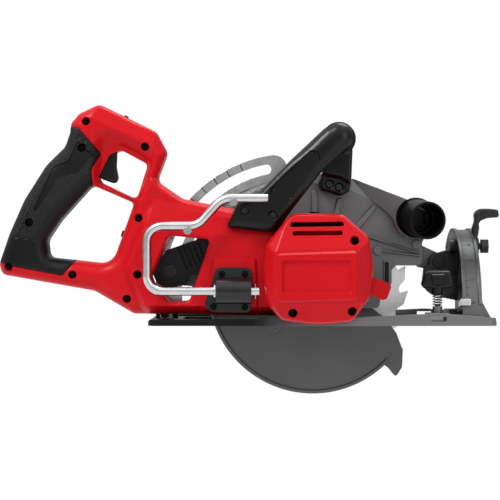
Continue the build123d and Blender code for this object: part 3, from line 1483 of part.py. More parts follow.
with BuildPart() as front_handle:
    add(leg.part)
    prism(housing_outline, -body_right, 0, Mode.SUBTRACT, shrink=-case_gap)
    for x, z in handle_screws_at:
        rod(x, z, boss_around_screw + case_gap, -body_right, boss_end_near, Mode.SUBTRACT)
    rod(bar_x, bar_z, bar_radius, bar_near, foot_far)
    prism(foot_outline, foot_near, wall_near)
    prism(foot_top, foot_near, foot_far)
    for x, z in handle_screws_at:
        rod(x, z, screw_head_radius + case_gap, handle_near, handle_seat, Mode.SUBTRACT)
        rod(x, z, screw_radius, handle_near, -body_right, Mode.SUBTRACT)
    for x, z in foot_screws_at:
        rod(x, z, screw_radius, foot_near, wall_near, Mode.SUBTRACT)

with BuildPart() as front_handle_screws:
    for x, z in handle_screws_at:
        rod(x, z, screw_radius, handle_seat, boss_screw_end)
        rod(x, z, screw_head_radius, handle_seat - screw_head_height, handle_seat)
    for x, z in foot_screws_at:
        rod(x, z, screw_radius, foot_near, guard_inner - case_gap)
        rod(x, z, screw_head_radius, foot_near - screw_head_height, foot_near)

# Rafter hook: a bent rod that swings out on a barrel
hook_plate = [
    (-90.3, 53.4, 5), (-58.7, 52.9, 5), (-59.3, 11.9, 5), (-94.7, 12.5, 5), (-102.4, 18.6, 5),
]
hook_path = [
    (-153.9, hook_z, 14), (-153.9, 91.2, 14), (-108.0, 91.2, 18), (-85.0, 116.4, 18), (-43.8, 116.4, 0),
]
pegs_at = [(-116.5, 87.0), (-74.9, 112.9)]
with BuildPart() as hook_block:
    prism(hook_plate, -body_right - hook_block_plate, -body_right)
    bar(hook_y, hook_z, hook_barrel_radius, hook_barrel_back, hook_barrel_front)
    low = hook_z - hook_web_half
    block(hook_barrel_back, hook_barrel_front, hook_y, -body_right, low, low + 2 * hook_web_half)
    bar(hook_y, hook_z, hook_rod_radius + running_gap, hook_barrel_back, hook_barrel_front, Mode.SUBTRACT)
    for x, z in hook_screws_at:
        rod(x, z, screw_radius, -body_right - hook_block_plate, -body_right, Mode.SUBTRACT)

with BuildPart() as hook_block_screws:
    for x, z in hook_screws_at:
        seat = -body_right - hook_block_plate
        rod(x, z, screw_radius, seat, boss_screw_end)
        rod(x, z, screw_head_radius, seat - screw_head_height, seat)

with BuildPart() as hook_rod:
    with BuildLine(side(hook_y)) as route:
        corners = [(hook_end, hook_z)] + [(x, z) for x, z, r in hook_path]
        FilletPolyline(*corners, radius=[r for x, z, r in hook_path[:-1]])
    with BuildSketch(Plane(origin=(hook_end, hook_y, hook_z), z_dir=(-1, 0, 0))) as section:
        Circle(hook_rod_radius)
    sweep(section.sketch, path=route.line)
    for x, z in pegs_at:
        rod(x, z, peg_radius, hook_y - hook_rod_radius - peg_length, hook_y)
    low = hook_z - cross_pin_half
    post(cross_pin_x, hook_y, cross_pin_radius, low, low + 2 * cross_pin_half, Mode.SUBTRACT)

with BuildPart() as hook_pins:
    collar_front = hook_barrel_back - sliding_gap
    bar(hook_y, hook_z, collar_radius, collar_front - collar_width, collar_front)
    bar(hook_y, hook_z, hook_rod_radius, collar_front - collar_width, collar_front, Mode.SUBTRACT)
    post(cross_pin_x, hook_y, cross_pin_radius, hook_z - cross_pin_half, hook_z + cross_pin_half)

# Work light on the front of the motor sleeve
light_arm = [
    (40.0, 47.0, 0), (52.5, 44.5, 3), (68.3, 38.4, 2), (68.8, 35.0, 1.5), (65.3, 25.0, 2),
    (61.2, 23.5, 2), (49.5, 28.5, 6), (40.0, 31.0, 0),
]
lens_corners = [(70.0, 33.4, 0), (67.6, 26.6, 0), (63.6, 28.0, 0), (66.0, 34.8, 0)]
with BuildPart() as led_arm:
    prism(light_arm, light_near, light_far)
    prism(sleeve_corners, motor_near, case_near, Mode.SUBTRACT)
    prism(lens_corners, lens_near, lens_far, Mode.SUBTRACT)

with BuildPart() as led_lens:
    prism(light_arm, light_near, light_far)
    prism(lens_corners, lens_near, lens_far, Mode.INTERSECT)

nodes = {
    "spindle": spindle, "drive_gear": drive_gear, "inner_flange": inner_flange, "blade": blade,
    "outer_flange": outer_flange, "blade_bolt": blade_bolt, "rotor_shaft": rotor_shaft,
    "rotor_core": rotor_core, "fan": fan, "pinion": pinion, "spindle_bearings": spindle_bearings,
    "rotor_bearings": rotor_bearings, "stator_core": stator_core, "stator_coils": stator_coils,
    "end_bell": end_bell, "gear_case": gear_case, "gear_case_screws": gear_case_screws,
    "guard_ring": guard_ring, "guard_spring": guard_spring, "motor_case": motor_case,
    "motor_cap": motor_cap, "cap_screws": cap_screws, "spindle_lock": spindle_lock,
    "upper_guard": upper_guard, "dust_port": dust_port, "lower_guard": lower_guard, "shoe": shoe,
    "bevel_pins": bevel_pins, "bevel_quadrant": bevel_quadrant, "front_bracket": front_bracket,
    "rear_trunnion": rear_trunnion, "depth_pins": depth_pins, "bevel_pointer": bevel_pointer,
    "bevel_bolt": bevel_bolt, "bevel_nut": bevel_nut, "bevel_lever": bevel_lever,
    "depth_bracket": depth_bracket, "depth_clamp_bolt": depth_clamp_bolt, "depth_lever": depth_lever,
    "depth_nut": depth_nut, "edge_guide_knob": edge_guide_knob, "edge_guide_spring": edge_guide_spring,
    "grip_right": grip_right, "grip_left": grip_left, "housing_right": housing_right,
    "housing_left": housing_left, "housing_screws": housing_screws, "terminal_block": terminal_block,
    "trigger": trigger, "trigger_switch": trigger_switch, "lock_off_button": lock_off_button,
    "controller_module": controller_module, "front_handle": front_handle,
    "front_handle_screws": front_handle_screws, "hook_block": hook_block,
    "hook_block_screws": hook_block_screws, "hook_rod": hook_rod, "hook_pins": hook_pins,
    "led_arm": led_arm, "led_lens": led_lens,
}
for name, builder in nodes.items():
    builder.part.label = name
    export_step(builder.part, f"parts/{name}.step")
print(len(nodes), "pieces")
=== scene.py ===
import json
import math
import bpy
import numpy as np
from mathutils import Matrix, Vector
from mathutils.geometry import delaunay_2d_cdt


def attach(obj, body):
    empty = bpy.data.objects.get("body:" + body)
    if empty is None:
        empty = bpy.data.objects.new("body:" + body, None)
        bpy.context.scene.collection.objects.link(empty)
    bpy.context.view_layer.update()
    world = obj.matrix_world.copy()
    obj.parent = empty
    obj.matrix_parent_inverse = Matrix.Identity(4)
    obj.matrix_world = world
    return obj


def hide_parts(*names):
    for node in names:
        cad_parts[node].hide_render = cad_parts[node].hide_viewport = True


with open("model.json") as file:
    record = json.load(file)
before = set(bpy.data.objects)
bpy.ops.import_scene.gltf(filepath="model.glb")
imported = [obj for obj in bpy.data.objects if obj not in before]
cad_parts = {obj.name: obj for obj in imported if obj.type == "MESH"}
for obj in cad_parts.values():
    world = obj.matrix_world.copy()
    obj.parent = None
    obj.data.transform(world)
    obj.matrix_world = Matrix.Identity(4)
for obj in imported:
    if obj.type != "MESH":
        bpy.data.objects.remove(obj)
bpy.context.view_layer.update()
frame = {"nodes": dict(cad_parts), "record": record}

scene = bpy.context.scene
nodeObjects = frame["nodes"]
print("frame loaded:", len(nodeObjects), "nodes")

# camera, floor and light

camera = {"place": (-0.0601, -1.5, 0.0694), "lens": 115.4, "sensor": 36.0}
camData = bpy.data.cameras.new("saw_camera")
camData.lens = camera["lens"]
camData.sensor_width = camera["sensor"]
camObject = bpy.data.objects.new("saw_camera", camData)
camObject.location = camera["place"]
camObject.rotation_euler = (math.radians(90), 0, 0)
scene.collection.objects.link(camObject)
scene.camera = camObject
scene.view_settings.view_transform = "Standard"

studio = {
    # a low and a high level, and the heights in the sky between which one turns into the other
    "skyPlain": (0.18, 0.5, (-0.5, 0.9)), "skyMirrored": (0.24, 1.25, (0.0, 0.75)),
    "lamps": {  # place, aim, size, watts
        "key": ((-0.85, -0.75, 1.35), (-0.05, 0.0, 0.06), 0.4, 14.0),
        "fill": ((0.95, -1.5, 0.5), (0.05, 0.0, 0.06), 0.9, 4.4),
        "top": ((0.3, 0.3, 1.4), (-0.05, 0.0, 0.05), 0.6, 7.0),
    },
    "floorLevel": -0.176,  # below the shoe where it drops furthest
    "floorHalf": 6.0, "floorTone": (0.8, 0.8, 0.8, 1), "floorGlow": 1.03, "glowShare": 0.95,
}
for lampName, (place, aim, size, watts) in studio["lamps"].items():
    lampData = bpy.data.lights.new("lamp_" + lampName, "AREA")
    lampData.size = size
    lampData.energy = watts
    lamp = bpy.data.objects.new("lamp_" + lampName, lampData)
    lamp.location = place
    lamp.rotation_euler = (Vector(aim) - Vector(place)).to_track_quat("-Z", "Y").to_euler()
    scene.collection.objects.link(lamp)

noiseSpan = (0.3, 0.7)  # where most of a noise's values lie


# inputs of a node, by name or number: another node's output is linked, and any other value is set
def setInputs(tree, node, inputs):
    for key, value in inputs.items():
        if hasattr(value, "is_output"):
            tree.links.new(value, node.inputs[key])
        else:
            node.inputs[key].default_value = value
    return node


# a new node with its settings and inputs
def addNode(tree, kind, inputs=None, **settings):
    node = tree.nodes.new("ShaderNode" + kind)
    for key, value in settings.items():
        setattr(node, key, value)
    return setInputs(tree, node, inputs or {})


# one step of arithmetic on its values
def workOut(tree, operation, *values):
    return addNode(tree, "Math", dict(enumerate(values)), operation=operation).outputs[0]


# a value carried in proportion from one span to the range from low to high, and held at both ends
def spread(tree, value, low, high, span=noiseSpan, **settings):
    limits = {"From Min": span[0], "From Max": span[1], "To Min": low, "To Max": high}
    return addNode(tree, "MapRange", {"Value": value, **limits}, **settings).outputs[0]


# the node tree of a new material or world, cleared
def emptyTree(block):
    block.use_nodes = True
    block.node_tree.nodes.clear()
    return block.node_tree


# 1 for a ray from the camera and for one mirrored or let through, or else 0
def seenDirectly(tree):
    path = addNode(tree, "LightPath").outputs
    either = workOut(tree, "MAXIMUM", path["Is Camera Ray"], path["Is Glossy Ray"])
    return workOut(tree, "MAXIMUM", either, path["Is Transmission Ray"])


# the sky is brightest overhead and dims towards the ground, more so for what a surface mirrors; the camera sees white
def makeSky():
    scene.world = bpy.data.worlds.new("studio")
    tree = emptyTree(scene.world)
    upward = addNode(tree, "SeparateXYZ", {0: addNode(tree, "TexCoord").outputs["Generated"]}).outputs["Z"]
    path = addNode(tree, "LightPath").outputs
    plain, mirrored = [spread(tree, upward, *studio[key]) for key in ("skyPlain", "skyMirrored")]
    strength = spread(tree, path["Is Glossy Ray"], plain, mirrored, (0.0, 1.0))
    soft = addNode(tree, "Background", {"Color": (1, 1, 1, 1), "Strength": strength})
    white = addNode(tree, "Background", {"Color": (1, 1, 1, 1), "Strength": 1.0})
    both = addNode(tree, "MixShader", {0: path["Is Camera Ray"], 1: soft.outputs[0], 2: white.outputs[0]})
    addNode(tree, "OutputWorld", {0: both.outputs[0]})


# pale floor that stays white to the camera apart from a light shadow: a share of glow over a matt tone
def makeFloor():
    mat = bpy.data.materials.new("pale_floor")
    tree = emptyTree(mat)
    matt = addNode(tree, "BsdfDiffuse", {"Color": studio["floorTone"]})
    glow = addNode(tree, "Emission", {"Color": (1, 1, 1, 1), "Strength": studio["floorGlow"]})
    level = workOut(tree, "MULTIPLY", seenDirectly(tree), studio["glowShare"])
    mixed = addNode(tree, "MixShader", {0: level, 1: matt.outputs[0], 2: glow.outputs[0]})
    addNode(tree, "OutputMaterial", {"Surface": mixed.outputs[0]})
    half, z = studio["floorHalf"], studio["floorLevel"]
    mesh = bpy.data.meshes.new("floor")
    mesh.from_pydata([(-half, -half, z), (half, -half, z), (half, half, z), (-half, half, z)], [], [(0, 1, 2, 3)])
    floor = bpy.data.objects.new("floor", mesh)
    floor.data.materials.append(mat)
    scene.collection.objects.link(floor)


makeSky()
makeFloor()
print("studio ready")


# shared effects as node groups: inputs by their usual value, three numbers for a vector, and values as outputs
def newGroup(name, inputs, outputs):
    group = bpy.data.node_groups.new(name, "ShaderNodeTree")
    for label, value in inputs.items():
        kind = "NodeSocketVector" if isinstance(value, tuple) else "NodeSocketFloat"
        group.interface.new_socket(label, in_out="INPUT", socket_type=kind).default_value = value
    for label in outputs:
        group.interface.new_socket(label, in_out="OUTPUT", socket_type="NodeSocketFloat")
    given = group.nodes.new("NodeGroupInput").outputs
    return group, given, group.nodes.new("NodeGroupOutput")


# smooth noise of a scale and detail
def noise(tree, place, scale, detail):
    return addNode(tree, "TexNoise", {"Vector": place, "Scale": scale, "Detail": detail}).outputs[0]


# fine moulded grain, and a slow drift of tone over the piece
def mouldedGrain():
    inputs = {"Vector": (0, 0, 0), "Grain Scale": 1800.0, "Drift Scale": 14.0}
    group, given, end = newGroup("mouldedGrain", inputs, ["Height", "Drift"])
    fine = noise(group, given["Vector"], given["Grain Scale"], 2.0)
    slow = noise(group, given["Vector"], given["Drift Scale"], 3.0)
    setInputs(group, end, {"Height": fine, "Drift": slow})
    return group


# cast skin: rounded pits plus a fine sand grain, and a slow drift of tone
def castSkin():
    inputs = {"Vector": (0, 0, 0), "Pit Scale": 700.0, "Drift Scale": 18.0}
    group, given, end = newGroup("castSkin", inputs, ["Height", "Drift"])
    pits = addNode(group, "TexVoronoi", {"Vector": given["Vector"], "Scale": given["Pit Scale"]})
    height = workOut(group, "ADD", pits.outputs["Distance"], noise(group, given["Vector"], 2200.0, 3.0))
    slow = noise(group, given["Vector"], given["Drift Scale"], 4.0)
    setInputs(group, end, {"Height": height, "Drift": slow})
    return group


# drawn or brushed lines: noise stretched along one axis
def brushedLines():
    inputs = {"Vector": (0, 0, 0), "Stretch": (20.0, 900.0, 900.0)}
    group, given, end = newGroup("brushedLines", inputs, ["Lines"])
    drawn = addNode(group, "VectorMath", {0: given["Vector"], 1: given["Stretch"]}, operation="MULTIPLY")
    setInputs(group, end, {"Lines": noise(group, drawn.outputs[0], 1.0, 3.0)})
    return group


# painted shade in hollows, by how much of the surround they can't see,
# and painted highlights on edges, by how far the normal turns when rounded
def cornerMarks():
    group, given, end = newGroup("cornerMarks", {"Reach": 0.006, "Edge Radius": 0.0007}, ["Hollow", "Edge"])
    seen = addNode(group, "AmbientOcclusion", {"Distance": given["Reach"]}, samples=8).outputs["AO"]
    rounded = addNode(group, "Bevel", {"Radius": given["Edge Radius"]}, samples=6).outputs[0]
    facing = addNode(group, "NewGeometry").outputs["Normal"]
    match = addNode(group, "VectorMath", {0: rounded, 1: facing}, operation="DOT_PRODUCT").outputs["Value"]
    ridge = workOut(group, "MULTIPLY", spread(group, match, 0.0, 1.0, (0.99, 0.8)), seen)
    setInputs(group, end, {"Hollow": workOut(group, "SUBTRACT", 1.0, seen), "Edge": ridge})
    return group


groups = {"grain": mouldedGrain(), "cast": castSkin(), "brush": brushedLines(), "corner": cornerMarks()}


# a place on the piece, in its own frame
def objectCoords(tree):
    return addNode(tree, "TexCoord").outputs["Object"]


# all that a shared effect puts out at each place on the piece, with its scale or stretch
def useSkin(tree, name, *scale):
    return addNode(tree, "Group", dict(enumerate([objectCoords(tree), *scale])), node_tree=groups[name]).outputs


# a new material with its Principled shader, linked to its output
def newMaterial(name, **inputs):
    mat = bpy.data.materials.new(name)
    tree = emptyTree(mat)
    shader = addNode(tree, "BsdfPrincipled", {key.replace("_", " "): value for key, value in inputs.items()})
    addNode(tree, "OutputMaterial", {"Surface": shader.outputs[0]})
    return mat, tree, shader


# colour between two tones by a mask
def toneMix(tree, mask, *tones):
    ramp = addNode(tree, "ValToRGB", {"Fac": mask})
    for element, position, tone in zip(ramp.color_ramp.elements, noiseSpan, tones):
        element.position = position
        element.color = (*tone, 1)
    return ramp.outputs["Color"]


# a colour times a factor
def dimmed(tree, colour, factor):
    return addNode(tree, "HueSaturation", {"Color": colour, "Value": factor}).outputs[0]


# a colour with painted shade in its hollows and painted highlights on its edges
def handled(tree, colour, hollow, edge, reach=0.006):
    marks = addNode(tree, "Group", {"Reach": reach}, node_tree=groups["corner"]).outputs
    dim = workOut(tree, "MULTIPLY_ADD", marks["Hollow"], -hollow, 1.0)
    return dimmed(tree, colour, workOut(tree, "MULTIPLY_ADD", marks["Edge"], edge, dim))


# what a finish ends with: its colour, a roughness between two limits by a mask,
# and a bump on top of edges that are rounded in the shading by a small radius
def dress(tree, shader, colour, mask, rough, height, depth, radius):
    edge = addNode(tree, "Bevel", {"Radius": radius}, samples=6).outputs[0]
    bump = addNode(tree, "Bump", {"Strength": 1.0, "Distance": depth, "Height": height, "Normal": edge}).outputs[0]
    setInputs(tree, shader, {"Base Color": colour, "Roughness": spread(tree, mask, *rough), "Normal": bump})


# moulded plastic: a tone that drifts over the piece, with painted shade and highlights, under a fine grain
def moulded(name, dark, light, rough, shine, grainScale=1800.0, depth=0.00002, radius=0.0007):
    mat, tree, shader = newMaterial(name, Specular_IOR_Level=shine)
    skin = useSkin(tree, "grain", grainScale)
    tone = handled(tree, toneMix(tree, skin["Drift"], dark, light), hollow=0.55, edge=0.12)
    dress(tree, shader, tone, skin["Drift"], rough, skin["Height"], depth, radius)
    return mat


gripRubber = {
    "shine": 0.2, "grainScale": 1400.0, "grainShare": 0.08, "depth": 0.0004, "radius": 0.0005,
    "dotScale": 640.0, "dotStray": 0.15, "dotSpan": (0.0, 0.6), "dotTone": 0.7,
}


# rubber with rows of small raised dots wherever the piece's own mark asks for them: domes times that mark
def dottedRubber(name, dark, light, rough):
    mat, tree, shader = newMaterial(name, Specular_IOR_Level=gripRubber["shine"])
    skin = useSkin(tree, "grain", gripRubber["grainScale"])
    mark = addNode(tree, "Attribute", attribute_name="dots").outputs["Fac"]
    rows = {"Vector": objectCoords(tree), "Scale": gripRubber["dotScale"], "Randomness": gripRubber["dotStray"]}
    dome = spread(tree, addNode(tree, "TexVoronoi", rows).outputs["Distance"], 1.0, 0.0, gripRubber["dotSpan"])
    dot = workOut(tree, "MULTIPLY", dome, mark)
    fine = workOut(tree, "MULTIPLY_ADD", skin["Height"], gripRubber["grainShare"], dot)
    # the dots take a lighter tone than the rubber between them
    lighterOnDots = workOut(tree, "MULTIPLY_ADD", dot, gripRubber["dotTone"], skin["Drift"])
    tone = toneMix(tree, lighterOnDots, dark, light)
    dress(tree, shader, tone, skin["Drift"], rough, fine, gripRubber["depth"], gripRubber["radius"])
    return mat


# mask for painted shade inside a guard: how far the faces lie from the blade, times how squarely they face it
def facesBlade(tree, bladePlane=0.046, span=(0.002, 0.006)):
    place = addNode(tree, "SeparateXYZ", {0: objectCoords(tree)}).outputs["Y"]
    facing = addNode(tree, "SeparateXYZ", {0: addNode(tree, "NewGeometry").outputs["Normal"]}).outputs["Y"]
    away = workOut(tree, "SUBTRACT", bladePlane, place)
    return spread(tree, workOut(tree, "MULTIPLY", away, facing), 0.0, 1.0, span)


# sand-cast or die-cast metal, with painted shade and highlights, and painted shade on its inside facing the blade
def castMetal(name, dark, light, rough, metallic, insideShade=0.0, pitScale=700.0, depth=0.00003, radius=0.0008):
    mat, tree, shader = newMaterial(name, Metallic=metallic)
    skin = useSkin(tree, "cast", pitScale)
    clean = handled(tree, toneMix(tree, skin["Drift"], dark, light), hollow=0.8, edge=0.9, reach=0.01)
    shadedInside = dimmed(tree, clean, workOut(tree, "MULTIPLY_ADD", facesBlade(tree), -insideShade, 1.0))
    dress(tree, shader, shadedInside, skin["Drift"], rough, skin["Height"], depth, radius)
    return mat


# rolled, ground or plated steel: tone, roughness and bump all follow the lines
def workedSteel(name, dark, light, rough, stretch, depth=0.000006, radius=0.0004):
    mat, tree, shader = newMaterial(name, Metallic=1.0)
    lines = useSkin(tree, "brush", stretch)["Lines"]
    dress(tree, shader, toneMix(tree, lines, dark, light), lines, rough, lines, depth, radius)
    return mat


# a metal with painted shading that turns from a dark tone to a light one along an axis, from start to end
def fadedMetal(name, axis, start, end, dark, light, rough, stretch=(60.0, 700.0, 700.0), depth=0.00002, radius=0.0008):
    mat, tree, shader = newMaterial(name, Metallic=0.85)
    skin = useSkin(tree, "cast")
    lines = useSkin(tree, "brush", stretch)["Lines"]
    place = addNode(tree, "SeparateXYZ", {0: objectCoords(tree)}).outputs[axis]
    paintedShadeAlong = spread(tree, place, *noiseSpan, (start, end), interpolation_type="SMOOTHSTEP")
    tone = handled(tree, toneMix(tree, paintedShadeAlong, dark, light), hollow=0.7, edge=0.9)
    dress(tree, shader, tone, lines, rough, skin["Height"], depth, radius)
    return mat


# clear plastic with a tint that drifts a little
def clearPlastic(name, dark, light):
    mat, tree, shader = newMaterial(name, Roughness=0.08, IOR=1.49, Transmission_Weight=1.0)
    skin = useSkin(tree, "grain", 500.0)
    setInputs(tree, shader, {"Base Color": toneMix(tree, skin["Drift"], dark, light)})
    return mat


finishes = {
    "red_shell": moulded("redShell", (0.68, 0.004, 0.011), (0.74, 0.006, 0.014), (0.32, 0.38), 0.18),
    "red_cap": moulded("redCap", (0.68, 0.004, 0.011), (0.75, 0.006, 0.014), (0.28, 0.33), 0.18),
    "black_plastic": moulded("blackPlastic", (0.003, 0.003, 0.0032), (0.0045, 0.0045, 0.0048), (0.26, 0.32), 0.3),
    "grip_rubber": dottedRubber("gripRubber", (0.003, 0.003, 0.0032), (0.011, 0.011, 0.0114), (0.36, 0.44)),
    # the guard's inside takes painted shade, down to a tenth of its tone
    "guard_metal": castMetal("castGuard", (0.175, 0.182, 0.187), (0.213, 0.221, 0.227), (0.32, 0.4), 0.4, 0.9),
    "lower_guard_metal": castMetal("castLowerGuard", (0.1, 0.101, 0.105), (0.125, 0.126, 0.13), (0.32, 0.4), 0.75),
    "shoe_metal": castMetal("castShoe", (0.22, 0.225, 0.23), (0.28, 0.285, 0.29), (0.4, 0.5), 0.8),
    "zinc_steel": workedSteel("zincPlate", (0.6, 0.61, 0.62), (0.68, 0.69, 0.7), (0.2, 0.26), (90, 90, 90), 0.0000015),
    "dark_steel": workedSteel(
        "blackenedSteel", (0.03, 0.03, 0.032), (0.05, 0.05, 0.053), (0.35, 0.45), (300, 300, 300)),
    "screw_steel": workedSteel("screwSteel", (0.006, 0.006, 0.006), (0.012, 0.012, 0.012), (0.4, 0.5), (700, 700, 700)),
    "blade_steel": workedSteel(
        "groundBlade", (0.86, 0.865, 0.87), (0.92, 0.922, 0.925), (0.3, 0.38), (500, 500, 120), 0.000002),
    "drive_steel": workedSteel("groundSteel", (0.4, 0.41, 0.43), (0.5, 0.51, 0.53), (0.25, 0.35), (900, 60, 900)),
    "core_steel": workedSteel("laminatedCore", (0.16, 0.16, 0.165), (0.26, 0.26, 0.265), (0.45, 0.6), (10, 2500, 10)),
    "copper": workedSteel("enamelledCopper", (0.42, 0.15, 0.06), (0.55, 0.22, 0.09), (0.25, 0.35), (200, 1800, 200)),
    "clear_lens": clearPlastic("clearLens", (0.86, 0.88, 0.9), (0.95, 0.96, 0.97)),
}
ownFinish = {  # nodes that look different from the others of their slot
    "front_bracket": castMetal("castBracket", (0.035, 0.036, 0.037), (0.055, 0.056, 0.058), (0.36, 0.46), 0.7),
    "depth_pins": workedSteel("pinSteel", (0.03, 0.03, 0.031), (0.05, 0.05, 0.052), (0.35, 0.45), (300, 300, 300)),
    "front_handle_screws": workedSteel(
        "blackScrew", (0.03, 0.03, 0.031), (0.06, 0.06, 0.062), (0.25, 0.35), (700, 700, 700)),
    "hook_block": moulded("hookPlastic", (0.006, 0.006, 0.0063), (0.009, 0.009, 0.0094), (0.24, 0.3), 0.5),
    "dust_port": moulded("portPlastic", (0.003, 0.003, 0.0032), (0.0045, 0.0045, 0.0048), (0.42, 0.5), 0.12),
    # painted shade: the shoe darkens towards its rear
    "shoe": fadedMetal("castShoePaintedShade", "X", -0.06, 0.0, (0.014, 0.014, 0.0145), (0.2, 0.202, 0.206), (0.4, 0.5)),
    # painted reflection: the quadrant is dark at its top and lighter towards its bottom
    "bevel_quadrant": fadedMetal(
        "brushedQuadrant", "Z", 0.07, 0.03, (0.035, 0.036, 0.037), (0.15, 0.152, 0.155), (0.26, 0.36)),
}
slotOfNode = {p["node"]: p["material_slot"] for p in frame["record"]["subparts"]}
for nodeName, nodeObject in nodeObjects.items():
    nodeObject.data.materials.clear()
    nodeObject.data.materials.append(ownFinish.get(nodeName, finishes[slotOfNode[nodeName]]))
print("finishes on", len(nodeObjects), "nodes")


# relief pieces: a flat region of triangles in X and Z, lifted in Y by a height worked out at every point

# closed outline from (x, z, radius) corners as complex points: an arc in each corner, even steps along each side
def roundOutline(corners, step=1.5):
    spots = np.array([c[0] + 1j * c[1] for c in corners])
    radii = np.array([c[2] for c in corners], float)
    back = np.roll(spots, 1) - spots
    ahead = np.roll(spots, -1) - spots
    back /= abs(back)
    ahead /= abs(ahead)
    half = np.arccos(np.clip((back * np.conj(ahead)).real, -1, 1)) / 2
    reach = radii / np.tan(half)
    start, end = spots + back * reach, spots + ahead * reach
    middle = spots + (back + ahead) / (abs(back + ahead) + 1e-12) * radii / np.sin(half)
    path = []
    for i, radius in enumerate(radii):
        if radius > 0:
            turn = np.angle((end[i] - middle[i]) / (start[i] - middle[i]))
            count = int(abs(turn) * radius / step) + 4
            path.append(middle[i] + (start[i] - middle[i]) * np.exp(1j * turn * np.linspace(0, 1, count)))
        else:
            path.append(spots[i:i + 1])
        gap = start[(i + 1) % len(spots)] - end[i]
        count = max(1, int(abs(gap) / step))
        path.append(end[i] + gap * np.arange(1, count) / count)
    return np.concatenate(path)


# circles round some holes: even steps at the holes' radius and each margin beyond it
def holeLoops(holes, radius, margins=(0,), count=28):
    turn = np.exp(2j * np.pi * np.arange(count) / count)
    return [x + 1j * z + (radius + margin) * turn for x, z in holes for margin in margins]


# distance of each point to the middle of the nearest hole
def fromHoles(points, holes):
    return np.min([np.full(len(points), np.inf)] + [abs(points - x - 1j * z) for x, z in holes], 0)


# unit vectors across a loop, at right angles to the line between each point's neighbours
def acrossLoop(loop):
    along = np.roll(loop, -1) - np.roll(loop, 1)
    return 1j * along / abs(along)


# a loop moved inwards by a small amount
def shrinkLoop(loop, amount):
    turn = np.sign(np.sum((loop * np.conj(np.roll(loop, -1))).imag))
    return loop - turn * amount * acrossLoop(loop)


# the points in slices that fit in memory when each meets a whole loop
def slices(points, loop, most=3000000):
    return np.array_split(np.arange(len(points)), 1 + len(points) * len(loop) // most)


# distance of each point to the nearest side of a loop
def distanceTo(points, loop):
    b = np.roll(loop, -1) - loop
    size = abs(b) ** 2 + 1e-12
    best = np.empty(len(points))
    for part in slices(points, loop):
        p = points[part, None] - loop
        t = np.clip((p.real * b.real + p.imag * b.imag) / size, 0, 1)
        best[part] = np.sqrt(((p.real - t * b.real) ** 2 + (p.imag - t * b.imag) ** 2).min(1))
    return best


# a point is inside a loop if a ray to its right crosses the loop an odd number of times
def insideOf(points, loop):
    a, b = loop, np.roll(loop, -1)
    rise = b.imag - a.imag
    rise = np.where(abs(rise) < 1e-9, 1e-9, rise)
    inside = np.empty(len(points), bool)
    for part in slices(points, loop):
        x, z = points[part, None].real, points[part, None].imag
        cross = ((a.imag > z) != (b.imag > z)) & (x < (b.real - a.real) * (z - a.imag) / rise + a.real)
        inside[part] = cross.sum(1) % 2 == 1
    return inside


# distance to a loop, positive inside it and negative outside
def depthIn(points, loop):
    return np.where(insideOf(points, loop), 1, -1) * distanceTo(points, loop)


# 0 on a loop and outside it, and 1 from a width inside it, with a straight slope between
def stepIn(points, loop, width):
    return np.clip(depthIn(points, loop) / width, 0, 1)


# the three sides of each triangle
def sidesOf(tris):
    return np.concatenate([tris[:, [0, 1]], tris[:, [1, 2]], tris[:, [2, 0]]])


# triangles over the kept side of some loops, or the inside of the first: a staggered grid that meets every loop point
# by point, with rows of points beside it
def fillRegion(loops, pitch, rows=(0.3, 0.8), keep=None, rise=0.866, gridClear=0.45, rowClear=0.9):
    keep = keep or (lambda points: insideOf(points, loops[0]))
    border = np.concatenate(loops)
    x = np.arange(border.real.min(), border.real.max(), pitch)
    z = np.arange(border.imag.min(), border.imag.max(), pitch * rise)
    grid = (x + 0.5 * pitch * (np.arange(len(z)) % 2)[:, None] + 1j * z[:, None]).ravel()
    inner, least = [grid], [np.full(len(grid), max(rows) + gridClear * pitch)]
    for loop in loops:
        across = acrossLoop(loop)
        for r in rows:
            inner += [loop + r * across, loop - r * across]
            least += [np.full(len(loop), rowClear * r)] * 2
    inner, least = np.concatenate(inner), np.concatenate(least)
    chosen = keep(inner)
    inner, least = inner[chosen], least[chosen]
    inner = inner[np.min([distanceTo(inner, loop) for loop in loops], 0) > least]
    spots = np.concatenate([border, inner])
    ends = np.cumsum([0] + [len(loop) for loop in loops])
    sides = [np.column_stack([np.arange(i, j), np.roll(np.arange(i, j), -1)]) for i, j in zip(ends, ends[1:])]
    places = np.column_stack([spots.real, spots.imag]).tolist()
    found = delaunay_2d_cdt(places, np.concatenate(sides).tolist(), [], 0, 1e-5)
    flat = np.array(found[0])
    flat = flat[:, 0] + 1j * flat[:, 1]
    tris = np.array(found[2])
    tris = tris[keep(flat[tris].mean(1))]
    a, b, c = flat[tris].T
    wrong = ((b - a) * np.conj(c - a)).imag > 0
    tris[wrong] = tris[wrong][:, ::-1]
    used, tris = np.unique(tris, return_inverse=True)
    flat, tris = flat[used], tris.reshape(-1, 3)
    # a side that only one triangle has belongs to the rim
    start, end = sidesOf(tris).T
    alone = ~np.isin(start * len(flat) + end, end * len(flat) + start)
    return flat, tris, np.column_stack([start, end])[alone]


# evens out a height over the region by moving each inner point half way to the mean of its neighbours
def easeHeight(region, height):
    flat, tris, rim = region
    sides = sidesOf(tris)
    sides = np.concatenate([sides, sides[:, ::-1]])
    total = np.bincount(sides[:, 0], weights=height[sides[:, 1]], minlength=len(flat))
    mean = total / np.bincount(sides[:, 0], minlength=len(flat))
    held = np.zeros(len(flat), bool)
    held[rim.ravel()] = True
    return np.where(held, height, 0.5 * (height + mean))


